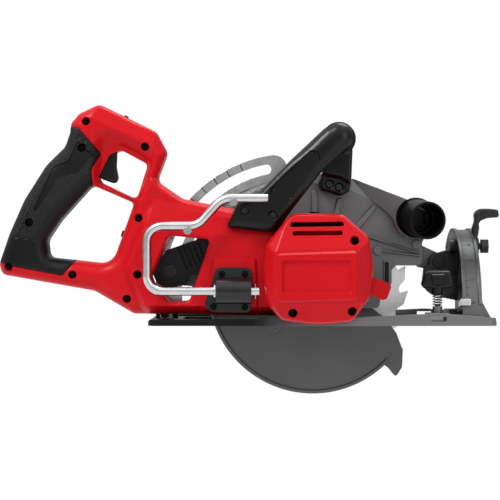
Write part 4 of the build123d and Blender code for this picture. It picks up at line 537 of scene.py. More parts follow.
# a mesh piece from corners in millimetres and faces, riding on a body in place of CAD nodes
def newPiece(name, shape, slotName, body, nodes=(), sharp=42.0, finish=None):
    corners, faces = shape
    mesh = bpy.data.meshes.new(name)
    mesh.from_pydata((np.asarray(corners) * 0.001).tolist(), [], faces)
    mesh.shade_smooth()
    mesh.set_sharp_from_angle(angle=math.radians(sharp))
    mesh.materials.append(finish or finishes[slotName])
    piece = bpy.data.objects.new(name, mesh)
    scene.collection.objects.link(piece)
    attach(piece, body)
    if nodes:
        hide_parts(*nodes)
    print(name, len(mesh.polygons), "faces")
    return piece


# a wall of so many millimetres, inwards from the piece's faces
def thicken(piece, thickness):
    wall = piece.modifiers.new("wall", "SOLIDIFY")
    wall.thickness = thickness * 0.001
    wall.offset = -1


# corners and faces of a region lifted to front, with its rim taken down to the level rear, or closed at the back
def liftRegion(region, front, rear, side=-1, closed=True):
    flat, tris, rim = region
    kept = np.arange(len(flat)) if closed else np.unique(rim)
    top = np.column_stack([flat.real, side * front, flat.imag])
    low = np.column_stack([flat[kept].real, side * rear[kept], flat[kept].imag])
    index = np.zeros(len(flat), int)
    index[kept] = np.arange(len(kept)) + len(flat)
    walls = np.column_stack([rim[:, 0], index[rim[:, 0]], index[rim[:, 1]], rim[:, 1]])
    faces = [tris, index[tris[:, ::-1]] if closed else tris[:0], walls]
    if side > 0:
        faces = [f[:, ::-1] for f in faces]
    return np.concatenate([top, low]), [row for f in faces for row in f.tolist()]


# several parts as one shape: each part's faces count on from the corners before it
def joinParts(parts):
    corners, faces, start = [], [], 0
    for points, polys in parts:
        corners.append(points)
        faces += [[i + start for i in poly] for poly in polys]
        start += len(points)
    return np.concatenate(corners), faces


# a quarter circle from 0 to 1: upright at first, level at the end
def quarterRound(t):
    t = np.clip(t, 0, 1)
    return np.sqrt(t * (2 - t))


# a smooth step from 0 to 1: level at both ends
def ease(t):
    t = np.clip(t, 0, 1)
    return t * t * (3 - 2 * t)


# a smooth step from 0 to 1 that starts at one value and is over so much further on
def ramp(value, start, over):
    return ease((value - start) / over)


# how deep a groove is at a distance from its line: none from its half width on
def groove(distance, depth, half):
    return depth * (1 - ease(distance / half))


# the value a share of the way from one to another
def between(low, high, share):
    return low + (high - low) * share


# how far a rounded edge is cut back: all of its drop on the loop, and none from its width inwards
def edgeCut(points, loop, width, drop):
    return drop * (1 - quarterRound(distanceTo(points, loop) / width))


# height of a sloping facet: level on the line from a to b, rising at a rate to the left of it
def facet(points, a, b, level, rate):
    a, b = complex(*a), complex(*b)
    return level + rate * ((points - a) * np.conj(b - a)).imag / abs(b - a)


# the housing: two shells and two grips that share one form
housing = {
    "outline": [
        (-226.5, 187.5, 6.5), (-219, 196.3, 8), (-200.4, 205.2, 9), (-147, 179.2, 10), (-136.8, 159.6, 9),
        (-146.6, 133.6, 7), (-122.4, 117, 14), (-77.9, 107.9, 30), (-38, 106.5, 6.5), (-27.5, 97.5, 6.5),
        (-28, 20, 6.5), (-36.5, 8.6, 6.5), (-168, 10.2, 8), (-204.5, 31.4, 12), (-290.6, 46.6, 6.5),
        (-293.4, 56.5, 6.5), (-284, 84, 60), (-270, 116, 60), (-249.6, 148.2, 40),
        (-232, 165.5, 12), (-227.8, 178, 10),
    ],
    "gripOpening": [
        (-206.8, 129.8, 7), (-168, 112.9, 4), (-188.3, 56.4, 15), (-246.8, 62.6, 6), (-248.8, 78, 12),
        (-236, 97.2, 25),
    ],
    "triggerOpening": [
        (-201.3, 137, 6), (-190.5, 158.5, 8), (-180, 162.6, 6), (-155, 149.2, 5), (-165.4, 116.6, 4.5),
        (-198, 132, 4),
    ],
    "window": [
        (-134.8, 83, 6), (-96.5, 79, 4), (-116, 22, 6), (-134.5, 21.5, 5), (-148.5, 37, 6),
        (-151.5, 45, 5),
    ],
    "gripEdge": [
        (-310, 60.4, 0), (-246, 48.1, 0), (-233.9, 45.8, 1), (-221.5, 59.5, 1), (-215, 80, 0),
        (-206, 118, 0), (-206, 131, 0), (-206.6, 144, 4), (-198, 159, 2.5), (-218.8, 182, 2),
        (-226, 184.5, 0), (-250, 194, 0),
    ],
    "plateau": [
        (-150, 126, 8), (-122, 113.8, 14), (-77.5, 104.9, 30), (-39.5, 103.6, 6.5), (-29.5, 95.6, 6.5),
        (-30, 21, 6.5), (-37.5, 11, 6.5), (-160, 12.4, 8), (-177.5, 52, 10),
    ],
    "hookFrame": [(-94.1, 62.5, 4), (-54.1, 62.5, 4), (-52.3, 12.5, 4), (-104.1, 12.5, 4)],
    "triggerSlot": [(-211, 130, 0), (-183.5, 130, 0), (-183.5, 170.5, 0), (-211, 170.5, 0)],
    "inset": [
        (-219, 171, 2), (-213.5, 163.6, 2), (-203.6, 157.6, 2), (-220.4, 139.6, 3), (-238.4, 134.1, 3),
        (-258.3, 104.5, 1), (-260.6, 106.4, 1), (-242.1, 146.5, 3), (-228.2, 152.5, 3),
    ],
    "headFacets": [  # line with the inside on its left, height there, rise per millimetre
        ((-147, 179.2), (-200.4, 205.2), 13, 0.44), ((-136.8, 159.6), (-147, 179.2), 13, 0.7),
        ((-146.6, 133.6), (-136.8, 159.6), 13, 0.9),
    ],
    "headCrease": [(-153.4, 125.8), (-146.9, 157.2), (-154.3, 167.3), (-187.6, 181.2), (-212, 180.3)],
    "headRamp": (122, 14), "facetsOff": 2000,
    "scoopRamp": (-207, 12), "scoopRate": 0.8, "scoopDepth": 11, "lip": 8,
    "shoulder": ((-43.6, 80.4), (-95, 82.3), 28, 0.3),
    "screws": [
        (-211.7, 188.5), (-157.2, 165.2), (-215.7, 163.9), (-264.2, 94.9), (-283.5, 53.6), (-224.2, 46.5),
        (-174, 24.1), (-163.3, 99), (-163.5, 46.8),
    ],
    "screwHole": 3.9, "screwFloor": 11.9,
    "button": (-176.1, 192.9, 7.6, 4.5), "triggerFloor": 7,
    "handle": 19.5, "body": 28, "leftBody": 10.5, "skin": 2, "pitch": 1.35,
    "plateauSlope": 6, "frameRise": 2, "frameSlope": 1.5,
    "thinRamp": (-166, 10), "slimRamp": (-166, 14),  # where the handle turns into the body
    "edgeMost": 7, "edgeShare": 0.55, "handleRound": 13, "bodyRound": 6, "gripRound": 8,
    "triggerLow": 9, "triggerRound": 8, "windowRound": 3.5,
    "parting": 0.12, "onLoop": 0.05, "offEdge": 0.4, "seamDeep": 3, "rimLeast": 0.2,
}
openings = ("gripOpening", "triggerOpening", "window")
ownLoops = ("outline", *openings, "gripEdge", "plateau", "hookFrame", "inset", "triggerSlot")
loopOf = {key: roundOutline(housing[key]) for key in ownLoops}
holeSlack = {"inside": 0.02, "outside": 0.1}  # how near a hole's circle counts as on it


# inside the outline, outside the three openings and the holes, on one side of the grip's edge
def inHousing(points, rubber, holes):
    kept = insideOf(points, loopOf["outline"])
    for key in openings:
        kept &= ~insideOf(points, loopOf[key])
    kept &= insideOf(points, loopOf["gripEdge"]) == rubber
    return kept & (fromHoles(points, holes) > housing["screwHole"] - holeSlack["inside"])


# the form: a top level over handle and body, rounded down to each edge by a quarter ellipse,
# cut by the facets of the head and scooped within its crease
def housingForm(points, side):
    h = housing
    outer, grip, trigger, window = [distanceTo(points, loopOf[key]) for key in ("outline", *openings)]
    if side < 0:
        raised = stepIn(points, loopOf["plateau"], h["plateauSlope"])
        top = between(h["handle"], np.minimum(h["body"], facet(points, *h["shoulder"])), raised)
        top += h["frameRise"] * stepIn(points, loopOf["hookFrame"], h["frameSlope"])
    else:
        top = between(h["handle"], h["leftBody"], ramp(points.real, *h["thinRamp"]))
    low = np.minimum(h["edgeMost"], h["edgeShare"] * top)
    slim = ramp(points.real, *h["slimRamp"])
    height = between(low, top, quarterRound(outer / between(h["handleRound"], h["bodyRound"], slim)))
    inGrip = quarterRound(grip / between(h["handleRound"], h["gripRound"], slim))
    height = np.minimum(height, between(low, top, inGrip))
    aboveTrigger = np.maximum(top - h["triggerLow"], 0)
    height = np.minimum(height, h["triggerLow"] + aboveTrigger * quarterRound(trigger / h["triggerRound"]))
    height = np.minimum(height, top - h["windowRound"] + h["windowRound"] * quarterRound(window / h["windowRound"]))
    inHead = ramp(points.imag, *h["headRamp"])
    for line in h["headFacets"]:
        height = np.minimum(height, facet(points, *line) + h["facetsOff"] * (1 - inHead))
    within = np.min([facet(points, a, b, 0, 1) for a, b in zip(h["headCrease"], h["headCrease"][1:])], 0)
    near = inHead * ramp(points.real, *h["scoopRamp"])
    scooped = height - near * np.clip(h["scoopRate"] * within, 0, h["scoopDepth"])
    return np.where(height > h["lip"], np.maximum(scooped, h["lip"]), height)


# level where the rim of a shell ends: the parting line, or short of a slot, screw or the other skin
def housingRim(points, height):
    h = housing
    rear = np.full(len(points), h["parting"])
    atTrigger = distanceTo(points, loopOf["triggerOpening"]) < h["onLoop"]
    rear = np.where(atTrigger & insideOf(points, loopOf["triggerSlot"]), h["triggerFloor"], rear)
    *place, reach, level = h["button"]
    rear = np.where(fromHoles(points, [place]) < reach, level, rear)
    atScrew = fromHoles(points, h["screws"]) < h["screwHole"] + holeSlack["outside"]
    rear = np.where(atScrew, h["screwFloor"], rear)
    openEdge = np.min([distanceTo(points, loopOf[key]) for key in ("outline", *openings)], 0)
    onSeam = (distanceTo(points, loopOf["gripEdge"]) < h["onLoop"]) & (openEdge > h["offEdge"])
    return np.minimum(np.where(onSeam, height - h["seamDeep"], rear), height - h["rimLeast"])


# what is worked into the grips: a groove at the seam, a sunk inset, a line across, dots, and ribs beside the top seam
gripSkin = {
    "seam": (0.9, 1.1), "swell": 0.5, "swellRamp": (0.6, 1.2), "insetDepth": 1.2, "insetSlope": 0.9,
    "line": ((-284, 82.3), (-243, 76.4)), "lineGroove": (0.8, 0.9), "lineRamp": (0, 1.5), "seamRamp": (1.5, 1),
    "ribAt": 2.2, "ribStep": 2.4, "ribDepth": 1.1, "ribEdge": 2.2,
    "ribsUp": (150, 8), "ribsFrom": (1.6, 0.6), "ribsTo": (9.4, -0.6),
}


# the rubber's height after all of that, and how far each point is to show dots
def workGrip(flat, height, seam):
    g = gripSkin
    height = height + g["swell"] * ramp(seam, *g["swellRamp"])
    inset = stepIn(flat, loopOf["inset"], g["insetSlope"])
    height -= g["insetDepth"] * inset
    line = facet(flat, *g["line"], 0, 1)
    height -= groove(abs(line), *g["lineGroove"])
    dots = (1 - inset) * ramp(line, *g["lineRamp"]) * ramp(seam, *g["seamRamp"])
    ribs = abs(((seam - g["ribAt"]) / g["ribStep"]) % 1 - 0.5) * 2
    ribbed = ramp(flat.imag, *g["ribsUp"]) * ramp(seam, *g["ribsTo"]) * ramp(seam, *g["ribsFrom"])
    return height - g["ribDepth"] * ribbed * ease(1 - ribs * g["ribEdge"]), dots


# one skin: its region filled, lifted to the form and thickened
def makeShell(name, node, side, rubber, slotName):
    holes = housing["screws"] if side < 0 else []
    loops = [loopOf[key] for key in ("outline", *openings, "gripEdge")] + holeLoops(holes, housing["screwHole"])
    slopes = {}
    if rubber:
        slopes = {"inset": gripSkin["insetSlope"]}
    elif side < 0:
        slopes = {"plateau": housing["plateauSlope"], "hookFrame": housing["frameSlope"]}
    for key, slope in slopes.items():
        loops += [loopOf[key], shrinkLoop(loopOf[key], slope)]
    region = fillRegion(loops, housing["pitch"], keep=lambda points: inHousing(points, rubber, holes))
    flat = region[0]
    height = easeHeight(region, housingForm(flat, side))
    seam = distanceTo(flat, loopOf["gripEdge"])
    height -= groove(seam, *gripSkin["seam"])
    if rubber:
        height, dots = workGrip(flat, height, seam)
    shape = liftRegion(region, height, housingRim(flat, height), side, closed=False)
    piece = newPiece(name, shape, slotName, "saw_body", [node])
    if rubber:
        mark = piece.data.attributes.new("dots", "FLOAT", "POINT")
        rest = np.zeros(len(shape[0]) - len(dots))
        mark.data.foreach_set("value", np.concatenate([dots, rest]).astype(np.float32))
    thicken(piece, housing["skin"])


for hand, side in (("right", -1), ("left", 1)):
    makeShell("housing_shell_" + hand, "housing_" + hand, side, False, "red_shell")
    makeShell("grip_skin_" + hand, "grip_" + hand, side, True, "grip_rubber")
print("housing and grips made")


# the motor cap: facets that fall away from a raised band with a bare panel set into it
cap = {
    "outline": [
        (-19.3, 102.6, 8), (23.3, 102, 10), (47.5, 81.7, 12), (51.5, 54, 60), (48.6, 27, 14),
        (32.5, 4.8, 8), (0.9, 1.3, 120), (-31.5, 5.8, 8), (-44.7, 19.8, 12), (-48.7, 45.2, 50),
        (-46.1, 74, 14), (-26.6, 97.9, 12),
    ],
    "band": [(-37, 66.6, 3.5), (36.4, 69, 3.5), (36.4, 24.3, 3.5), (-37, 21.8, 3.5)],
    "panel": [(-31.7, 60.2, 3), (30.5, 60.6, 3), (30.5, 30.4, 3), (-31.7, 30.2, 3)],
    "top": 73.2,
    "facets": [  # line at the top level with the inside on its left, and rise per millimetre
        ((36.4, 70), (-37, 67.6), 0.45), ((-38, 66), (-38, 22), 1.5), ((-37, 20.8), (36.4, 23.3), 0.72),
        ((37.4, 24), (37.4, 69), 1.15), ((-31, 73.4), (-45, 59.6), 0.95), ((43.6, 63), (29.2, 77), 0.9),
        ((-45, 26), (-31, 14), 1.5), ((33, 16), (43, 30), 1.4),
    ],
    "vents": [  # corners, depth
        ([(-24.4, 89.8, 1.6), (24.6, 90.6, 1.6), (23.4, 95, 1.6), (-23.4, 94.4, 1.6)], 7),
        ([(-22.4, 82, 2), (23.4, 82.6, 2), (22.8, 86.8, 2), (-21.8, 86.3, 2)], 9),
    ],
    "ventStep": 1, "ventSlope": 0.35, "darkVent": 0, "darkFrom": 0.3,
    "screws": [(33.5, 77.8), (-21.8, 12.9), (31.5, 14.4)], "screwHole": 4.15, "screwFloor": 51.9,
    "bandRise": 2.8, "bandSlope": 2.2, "panelDrop": 2, "panelSlope": 1.8,
    "rimLevel": 52, "rimRound": 3, "rear": 38.6, "skin": 2, "pitch": 1.1, "rows": (0.4,),
}


# the lowest of the facets, rounded down to the rim, plus the band, less the panel and vents
def makeCap():
    outline, band, panel = [roundOutline(cap[key]) for key in ("outline", "band", "panel")]
    vents = [roundOutline(corners, cap["ventStep"]) for corners, depth in cap["vents"]]
    loops = [outline, band, panel, *vents, *[shrinkLoop(loop, cap["ventSlope"]) for loop in vents]]
    loops += [shrinkLoop(band, cap["bandSlope"]), shrinkLoop(panel, cap["panelSlope"])]
    loops += holeLoops(cap["screws"], cap["screwHole"])
    least = cap["screwHole"] - holeSlack["inside"]
    region = fillRegion(loops, cap["pitch"], cap["rows"],
                        lambda points: insideOf(points, outline) & (fromHoles(points, cap["screws"]) > least))
    flat, tris = region[:2]
    height = np.min([facet(flat, a, b, cap["top"], rate) for a, b, rate in cap["facets"]], 0)
    height = easeHeight(region, np.minimum(height, cap["top"]))
    height = between(cap["rimLevel"], height, quarterRound(distanceTo(flat, outline) / cap["rimRound"]))
    height += cap["bandRise"] * stepIn(flat, band, cap["bandSlope"])
    height -= cap["panelDrop"] * stepIn(flat, panel, cap["panelSlope"])
    for loop, (corners, depth) in zip(vents, cap["vents"]):
        height -= depth * stepIn(flat, loop, cap["ventSlope"])
    atScrew = fromHoles(flat, cap["screws"]) < cap["screwHole"] + holeSlack["outside"]
    shape = liftRegion(region, height, np.where(atScrew, cap["screwFloor"], cap["rear"]), closed=False)
    piece = newPiece("cap_shell", shape, "red_cap", "saw_body", ["motor_cap"], sharp=30)
    piece.data.materials.append(finishes["black_plastic"])
    paint = np.zeros(len(shape[1]), np.int32)
    paint[:len(tris)] = depthIn(flat[tris].mean(1), vents[cap["darkVent"]]) > cap["darkFrom"]
    piece.data.polygons.foreach_set("material_index", paint)
    thicken(piece, cap["skin"])


makeCap()
print("cap made")


# the front handle: a leg with a sunk panel, a round bar across the saw and a stepped foot
handle = {
    "leg": [
        (-71.1, 113.4, 6), (-81.2, 92.3, 3), (-79.4, 89.5, 2), (-37, 85.2, 4), (-16.8, 112.2, 30),
        (5.3, 140.7, 40), (38, 168, 14), (33, 184, 10), (20, 188, 12), (8, 181, 20),
        (-23.1, 151.7, 60), (-52.4, 121.7, 20),
    ],
    "panel": [
        (-52.8, 121.6, 3), (-44.2, 123.6, 3), (-4.4, 160.7, 3), (2.9, 159.4, 3), (4.2, 152.6, 3), (-23.6, 115.1, 4),
    ],
    "legScrews": [(-65.1, 105.3), (-39.2, 101.2)], "legSeat": 33.3, "legRings": (1, 0, -0.25), "legPitch": 1.4,
    "legNear": 37.5, "legFar": 18, "panelDrop": 2.2, "panelSlope": 1,
    "legDrop": 6.5, "legRound": 7.5, "bendRamp": (140, 30), "bendDrop": 4, "bendRound": 6,
    "backDrop": 4, "backRound": 5, "onHousing": 28.3, "besideHousing": 0.6,
    "bar": (21.5, 171.5, 15.5, -30, 40), "tipRound": 4, "tipSteps": 7, "barRows": 12, "barShort": 6,
    "foot": [
        (6, 168, 3), (37, 168, 3), (35.8, 138.6, 20), (34, 125, 4), (26, 120.6, 4),
        (6.2, 126.3, 4), (4.6, 133.6, 4), (8.7, 144.3, 8),
    ],
    "footScrews": [(15, 131.6), (24, 128.8)], "footSeat": -17, "footRings": (0.8, 0, -0.25), "footPitch": 1,
    "ledge": [(7, 143.7), (26, 139.6), (36, 133.6)], "ledgeWidth": 4.5,
    "footLow": -14.4, "footHigh": -11, "footFar": -29.4, "footEdge": (3, 2.6),
    "stemFrom": 147, "stemFar": -39.5, "screwHole": 3.6, "cone": 0.9, "seatIn": 0.2,
}


# corners and faces of a surface about an axis along Y, from rows of points round it: each row is joined to the next,
# and the first and last have an end face, or are joined as well
def roundSurface(x, z, spots, y, joined=False):
    rows, count = spots.shape
    corners = np.stack([x + spots.real, np.broadcast_to(y, spots.shape), z + spots.imag], -1).reshape(-1, 3)
    row = np.arange(rows if joined else rows - 1)[:, None]
    here, there = row * count, (row + 1) % rows * count
    j = np.arange(count)
    k = (j + 1) % count
    faces = np.stack([here + j, there + j, there + k, here + k], -1).reshape(-1, 4).tolist()
    if not joined:
        faces += [j.tolist(), (j[::-1] + (rows - 1) * count).tolist()]
    return corners, faces


# a turned shape about an axis along Y, from (radius, y) profile points: a rod, or a ring if it is joined
def turned(x, z, profile, count=64, joined=False):
    radius, y = np.array(profile, float).T[..., None]
    return roundSurface(x, z, radius * np.exp(2j * np.pi * np.arange(count) / count), y, joined)


# a shape with its faces turned over, and its axes in another order where that mirrors it
def turnedOver(shape, order=(0, 1, 2)):
    corners, faces = shape
    return corners[:, list(order)], [face[::-1] for face in faces]


# a cone down to each screw's hole, then straight down to its seat
def sinkScrews(flat, front, holes, seat):
    out = fromHoles(flat, holes) - handle["screwHole"]
    return np.where(out < -handle["seatIn"], seat, front - np.clip(handle["cone"] - out, 0, handle["cone"]))


# the leg: its front and back rounded to the outline, more so in the bend, with its back on the housing
def handleLeg():
    h = handle
    leg, panel = roundOutline(h["leg"]), roundOutline(h["panel"])
    loops = [leg, panel, shrinkLoop(panel, h["panelSlope"])]
    region = fillRegion(loops + holeLoops(h["legScrews"], h["screwHole"], h["legRings"]), h["legPitch"])
    flat = region[0]
    edge = distanceTo(flat, leg)
    bend = ramp(flat.imag, *h["bendRamp"])
    base = h["legNear"] - h["legDrop"] - h["bendDrop"] * bend
    front = between(base, h["legNear"], quarterRound(edge / (h["legRound"] + h["bendRound"] * bend)))
    front -= h["panelDrop"] * stepIn(flat, panel, h["panelSlope"])
    back = h["legFar"] + h["backDrop"] - h["backDrop"] * quarterRound(edge / h["backRound"])
    back = np.where(depthIn(flat, loopOf["outline"]) > -h["besideHousing"], h["onHousing"], back)
    return liftRegion(region, sinkScrews(flat, front, h["legScrews"], h["legSeat"]), back)


# the foot: low under its ledge and high above it, with a rounded edge and a stem that reaches the bar
def handleFoot():
    h = handle
    foot = roundOutline(h["foot"])
    region = fillRegion([foot] + holeLoops(h["footScrews"], h["screwHole"], h["footRings"]), h["footPitch"])
    flat = region[0]
    above = ease((flat.imag - np.interp(flat.real, *np.array(h["ledge"]).T)) / h["ledgeWidth"] + 1)
    front = between(h["footLow"], h["footHigh"], above) - edgeCut(flat, foot, *h["footEdge"])
    back = np.where(flat.imag > h["stemFrom"], h["stemFar"], h["footFar"])
    return liftRegion(region, sinkScrews(flat, front, h["footScrews"], h["footSeat"]), back)


# the bar: a rod with a rounded tip
def handleBar():
    x, z, radius, near, far = handle["bar"]
    tip = handle["tipRound"]
    rows = [near, *np.linspace(near + tip, far - handle["barShort"], handle["barRows"])]
    turns = np.linspace(0, math.pi / 2, handle["tipSteps"])
    end = [(radius - tip + tip * math.cos(a), far - tip + tip * math.sin(a)) for a in turns]
    return turned(x, z, [(radius, y) for y in rows] + end)


handleShape = joinParts([handleLeg(), handleFoot(), handleBar()])
newPiece("handle_form", handleShape, "black_plastic", "saw_body", ["front_handle"])
print("front handle made")


# small pieces beside the housing

# a closed block with rounded faces from an outline, between two levels in Y
def makeBlock(name, loop, levels, rounding, slotName, body, nodes=(), pitch=1, rowShares=(0.25, 0.6)):
    near, far = levels
    region = fillRegion([loop], pitch, rows=[share * rounding for share in rowShares])
    cut = edgeCut(region[0], loop, rounding, rounding)
    newPiece(name, liftRegion(region, -near - cut, -far + cut), slotName, body, nodes)


# outline from (along, out) steps on a sloping line at a place
def onSlope(place, degrees, steps):
    return complex(*place) + np.exp(1j * math.radians(degrees)) * roundOutline(steps, step=0.8)


trigger = {
    "outline": [
        (-184.2, 161.5, 3), (-184.9, 147, 20), (-183, 136.6, 3), (-184.6, 132.2, 2.5), (-188.5, 132, 4),
        (-198.6, 135.6, 4), (-202.6, 141, 3), (-200.2, 152, 8), (-193, 168, 3), (-187, 168, 2),
    ],
    "levels": (-5.9, 5.9), "rounding": 2.4,
}
makeBlock("trigger_form", roundOutline(trigger["outline"], step=1), trigger["levels"], trigger["rounding"],
          "black_plastic", "trigger_body", ["trigger"])

lockOff = {
    "slope": ((-176.1, 192.9), -26.1), "levels": (-3.9, 3.9), "rounding": 0.8, "pitch": 0.8,
    "steps": [
        (-7, -6, 0.5), (7, -6, 0.5), (7, 0.2, 0.5), (2.2, 0.5, 0.4), (1.6, 2.1, 0.7), (-1.6, 2.1, 0.7),
        (-2.2, 0.5, 0.4), (-7, 0.2, 0.5),
    ],
}
makeBlock("lock_nub", onSlope(*lockOff["slope"], lockOff["steps"]), lockOff["levels"], lockOff["rounding"],
          "black_plastic", "lock_off", ["lock_off_button"], lockOff["pitch"])

# battery socket on the left shell: a plate with two rail grooves, and its terminals
socket = {
    "slope": ((-187, 60), 70.7),
    "plate": [
        (0, -15.9, 2), (49.8, -15.9, 2), (49.8, -9, 0.4), (46.8, -9, 0.4), (46.8, -5, 0.4), (49.8, -5, 0.4),
        (49.8, 0, 1.5), (0, 0, 1.5), (0, -5, 0.4), (3, -5, 0.4), (3, -9, 0.4), (0, -9, 0.4),
    ],
    "terminals": [
        (13, -3, 0.5), (37, -3, 0.5), (37, 0.4, 0.3), (29.2, 0.5, 0.4), (28.4, 3.6, 0.8), (22.6, 3.6, 0.8),
        (21.8, 0.5, 0.4), (13, 0.4, 0.3),
    ],
    "plateLevels": (3, 77.9), "plateRounding": 1.2, "platePitch": 1.6,
    "terminalLevels": (20.1, 69.9), "terminalRounding": 0.6,
}
makeBlock("battery_plate", onSlope(*socket["slope"], socket["plate"]), socket["plateLevels"], socket["plateRounding"],
          "red_shell", "saw_body", pitch=socket["platePitch"])
makeBlock("battery_terminals", onSlope(*socket["slope"], socket["terminals"]), socket["terminalLevels"],
          socket["terminalRounding"], "black_plastic", "saw_body", ["terminal_block"])
print("trigger, lock and battery socket made")


# a rolled rim on the lower guard: a low bead swept about the arbor
bead = {
    "centre": (0, 32.2), "start": 181, "end": 317, "rows": 140,
    "section": [(96.4, 35.3), (96.6, 34.4), (97.3, 33.9), (99.3, 33.9), (100, 34.4), (100.2, 35.3)],  # radius, y
}
sectionRadius, sectionY = np.array(bead["section"]).T
beadTurn = np.exp(1j * np.radians(np.linspace(bead["start"], bead["end"], bead["rows"])))
beadShape = roundSurface(*bead["centre"], beadTurn[:, None] * sectionRadius, sectionY)
newPiece("guard_bead", turnedOver(beadShape), "lower_guard_metal", "guard_drum", sharp=60)


# marks: small flat bars, each from its middle, its two half sides and its half thickness as vectors
def barsFrom(middles, *halves):
    signs = np.array([(a, b, c) for a in (-1, 1) for b in (-1, 1) for c in (-1, 1)], float)
    corners = middles[:, None]
    for sign, half in zip(signs.T, halves):
        corners = corners + sign[:, None] * half[:, None]
    box = np.array([(0, 1, 3, 2), (4, 6, 7, 5), (0, 4, 5, 1), (2, 3, 7, 6), (0, 2, 6, 4), (1, 5, 7, 3)])
    if np.linalg.det([half[0] for half in halves]) < 0:
        box = box[:, ::-1]
    faces = (np.arange(len(middles))[:, None, None] * 8 + box).reshape(-1, 4).tolist()
    return corners.reshape(-1, 3), faces


# depth marks on the arc
depthMarks = {
    "middle": (-21.4, 23, 32.2), "from": 112.1, "step": 6.4, "count": 9, "inner": 121.4, "outer": 128.3,
    "half": 0.45, "rise": 0.12,
}


# bars at even steps about the arc's middle, each from the inner to the outer radius
def makeDepthMarks():
    inner, outer = depthMarks["inner"], depthMarks["outer"]
    turn = np.radians(depthMarks["from"] + depthMarks["step"] * np.arange(depthMarks["count"]))
    out = np.stack([np.cos(turn), 0 * turn, np.sin(turn)], -1)
    side = np.stack([-np.sin(turn), 0 * turn, np.cos(turn)], -1)
    middles = np.array(depthMarks["middle"]) + (inner + outer) / 2 * out
    rise = np.tile([0, depthMarks["rise"], 0], (len(turn), 1))
    bars = barsFrom(middles, (outer - inner) / 2 * out, depthMarks["half"] * side, rise)
    newPiece("depth_marks", bars, "dark_steel", "depth_arc", sharp=30)


makeDepthMarks()

# bevel scale on the quadrant's rim: a short mark each 5 degrees, a long one and a number each 15
scale = {
    "axis": (46, 7), "radius": 82, "zero": 170, "back": 138.4, "most": 50, "step": 5, "longStep": 15,
    "short": 2.2, "long": 3.6, "half": 0.22, "rise": 0.1, "number": 4.2, "numberAt": 144.6,
}


# a number that runs up the rim: its x is wrapped along the arc, its y goes forward
def rimNumber(number):
    text = bpy.data.curves.new("number", "FONT")
    text.body = str(number)
    text.size = scale["number"]
    text.align_x = "CENTER"
    text.align_y = "CENTER"
    text.extrude = scale["rise"]
    holder = bpy.data.objects.new("number", text)
    mesh = bpy.data.meshes.new_from_object(holder)
    flat = np.empty(len(mesh.vertices) * 3, np.float32)
    mesh.vertices.foreach_get("co", flat)
    x, y, z = flat.reshape(-1, 3).astype(float).T
    spots = (scale["radius"] + z) * np.exp(1j * (math.radians(scale["zero"] - number) - x / scale["radius"]))
    corners = [scale["numberAt"] - y, scale["axis"][0] + spots.real, scale["axis"][1] + spots.imag]
    faces = [list(p.vertices) for p in mesh.polygons]
    bpy.data.objects.remove(holder)
    bpy.data.meshes.remove(mesh)
    bpy.data.curves.remove(text)
    return np.stack(corners, -1), faces


# marks across the rim, spaced by angle, and the numbers
def makeScale():
    tilt = np.arange(0, scale["most"] + 1, scale["step"])
    turn = np.radians(scale["zero"] - tilt)
    out = np.stack([0 * turn, np.cos(turn), np.sin(turn)], -1)
    side = np.stack([0 * turn, -np.sin(turn), np.cos(turn)], -1)
    length = np.where(tilt % scale["longStep"] == 0, scale["long"], scale["short"])
    along = np.outer(length / 2, [1, 0, 0])
    middles = np.array([scale["back"], *scale["axis"]]) + scale["radius"] * out + along
    parts = [barsFrom(middles, along, scale["half"] * side, scale["rise"] * out)]
    parts += [rimNumber(number) for number in range(0, scale["most"], scale["longStep"])]
    newPiece("bevel_scale", joinParts(parts), "dark_steel", "shoe_base", sharp=30)


makeScale()
print("marks made")


# bevel lever: a strip bent forward into a thumb tongue, wider at the top, on a round hub
bevelLever = {
    "strip": [
        (150.5, 73, 0), (150.5, 90, 8), (153.2, 97.5, 10), (151, 108.6, 7), (166, 108.6, 20),
        (174.9, 107.6, 2.4), (176, 100.4, 2.2), (165, 99.6, 12), (156.2, 96.4, 5), (157.2, 90, 8),
        (154.4, 73, 0),
    ],
    "levels": (16.5, 28.7), "rounding": 1.6, "step": 0.7, "pitch": 0.8, "rows": (0.3, 0.9),
    "narrow": 1.8, "narrowRamp": (74, 24),  # the stem is narrower than the tongue
    "hub": (22.6, 73, [(8, 150.6), (9, 151.6), (9, 155.4), (7.8, 156.6)]),
}


# the strip is cut back along its rounded edge and by as much as it narrows, on both sides alike
def makeBevelLever():
    loop = roundOutline(bevelLever["strip"], bevelLever["step"])
    near, far = bevelLever["levels"]
    region = fillRegion([loop], bevelLever["pitch"], bevelLever["rows"])
    flat = region[0]
    cut = edgeCut(flat, loop, bevelLever["rounding"], bevelLever["rounding"])
    narrow = bevelLever["narrow"] * (1 - ramp(flat.imag, *bevelLever["narrowRamp"]))
    strip = liftRegion(region, -near - cut - narrow, -far + cut + narrow)
    hub = turnedOver(turned(*bevelLever["hub"], count=40), (1, 0, 2))  # the axis goes from Y to X
    newPiece("bevel_lever_form", joinParts([strip, hub]), "dark_steel", "bevel_clamp", ["bevel_lever"], sharp=35)


makeBevelLever()
print("bevel lever made")


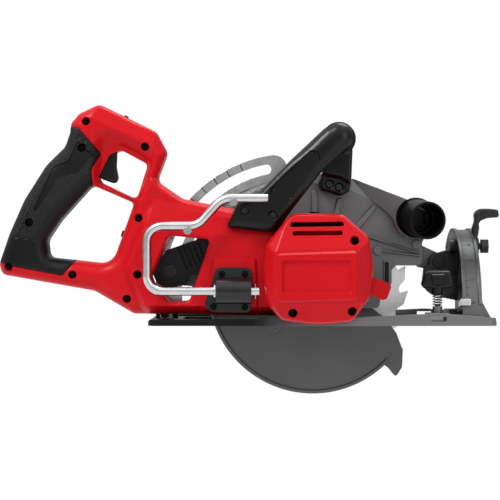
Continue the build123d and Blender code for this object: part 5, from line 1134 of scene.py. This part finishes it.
# slot beside the lamp arm: a raised frame on the guard's wall with a dark slot in it
guardSlot = {
    "wall": 30, "step": 0.7, "pitch": 0.9,
    "parts": {  # corners, rise from the wall, rounding, finish
        "slot_frame": (
            [(66.9, 36.5, 2), (75.1, 36.5, 2), (75.1, 59.6, 3), (66.9, 59.6, 2)], 1.8, 0.6, "guard_metal"),
        "slot_floor": (
            [(68.4, 37.5, 1), (72.4, 37.5, 1), (72.4, 58, 1.2), (68.4, 58, 1)], 1.9, 0.1, "black_plastic"),
    },
}
for partName, (corners, rise, rounding, slotName) in guardSlot["parts"].items():
    makeBlock(partName, roundOutline(corners, guardSlot["step"]), (guardSlot["wall"] - rise, guardSlot["wall"]),
              rounding, slotName, "saw_body", pitch=guardSlot["pitch"])

# the dust port's spigot: a black ring in the guard's hole
spigot = {"place": (97.8, 100.3), "profile": [(15.3, 29.55), (15.3, 32.45), (11.4, 32.45), (11.4, 29.55)]}
newPiece("port_spigot", turned(*spigot["place"], spigot["profile"], joined=True), "black_plastic", "saw_body",
         finish=ownFinish["dust_port"])

# edge guide knob: a wing with a raised middle panel on a short stem
knob = {
    "wing": [
        (100.4, 50.3, 3.2), (124.4, 50.3, 3.2), (127.7, 37.6, 2.6), (124.8, 34.1, 1), (100, 34.1, 1),
        (97.1, 37.6, 2.6),
    ],
    "panel": [(105.4, 47.4, 1.5), (119.4, 47.4, 1.5), (117.6, 36.8, 1.5), (107.2, 36.8, 1.5)],
    "middle": -25, "half": 6.4, "panelRise": 1.2, "panelSlope": 1, "rounding": 3, "step": 0.8, "pitch": 0.9,
    "stem": (112.4, -25, [(2.6, 9.3), (2.6, 28.7), (5.4, 28.7), (5.8, 29.1), (5.8, 36)]),
}


# the wing is as thick as its rounded edge and raised panel make it, on both sides alike
def makeKnob():
    wing, panel = [roundOutline(knob[key], knob["step"]) for key in ("wing", "panel")]
    region = fillRegion([wing, panel, shrinkLoop(panel, knob["panelSlope"])], knob["pitch"])
    flat = region[0]
    form = knob["half"] - knob["panelRise"] - edgeCut(flat, wing, knob["rounding"], knob["rounding"])
    form += knob["panelRise"] * stepIn(flat, panel, knob["panelSlope"])
    body = liftRegion(region, -knob["middle"] + form, -knob["middle"] - form)
    stem = turnedOver(turned(*knob["stem"], count=32), (0, 2, 1))  # the axis goes from Y to Z
    newPiece("knob_form", joinParts([body, stem]), "black_plastic", "guide_knob", ["edge_guide_knob"])


makeKnob()
print("guard slot and knob made")
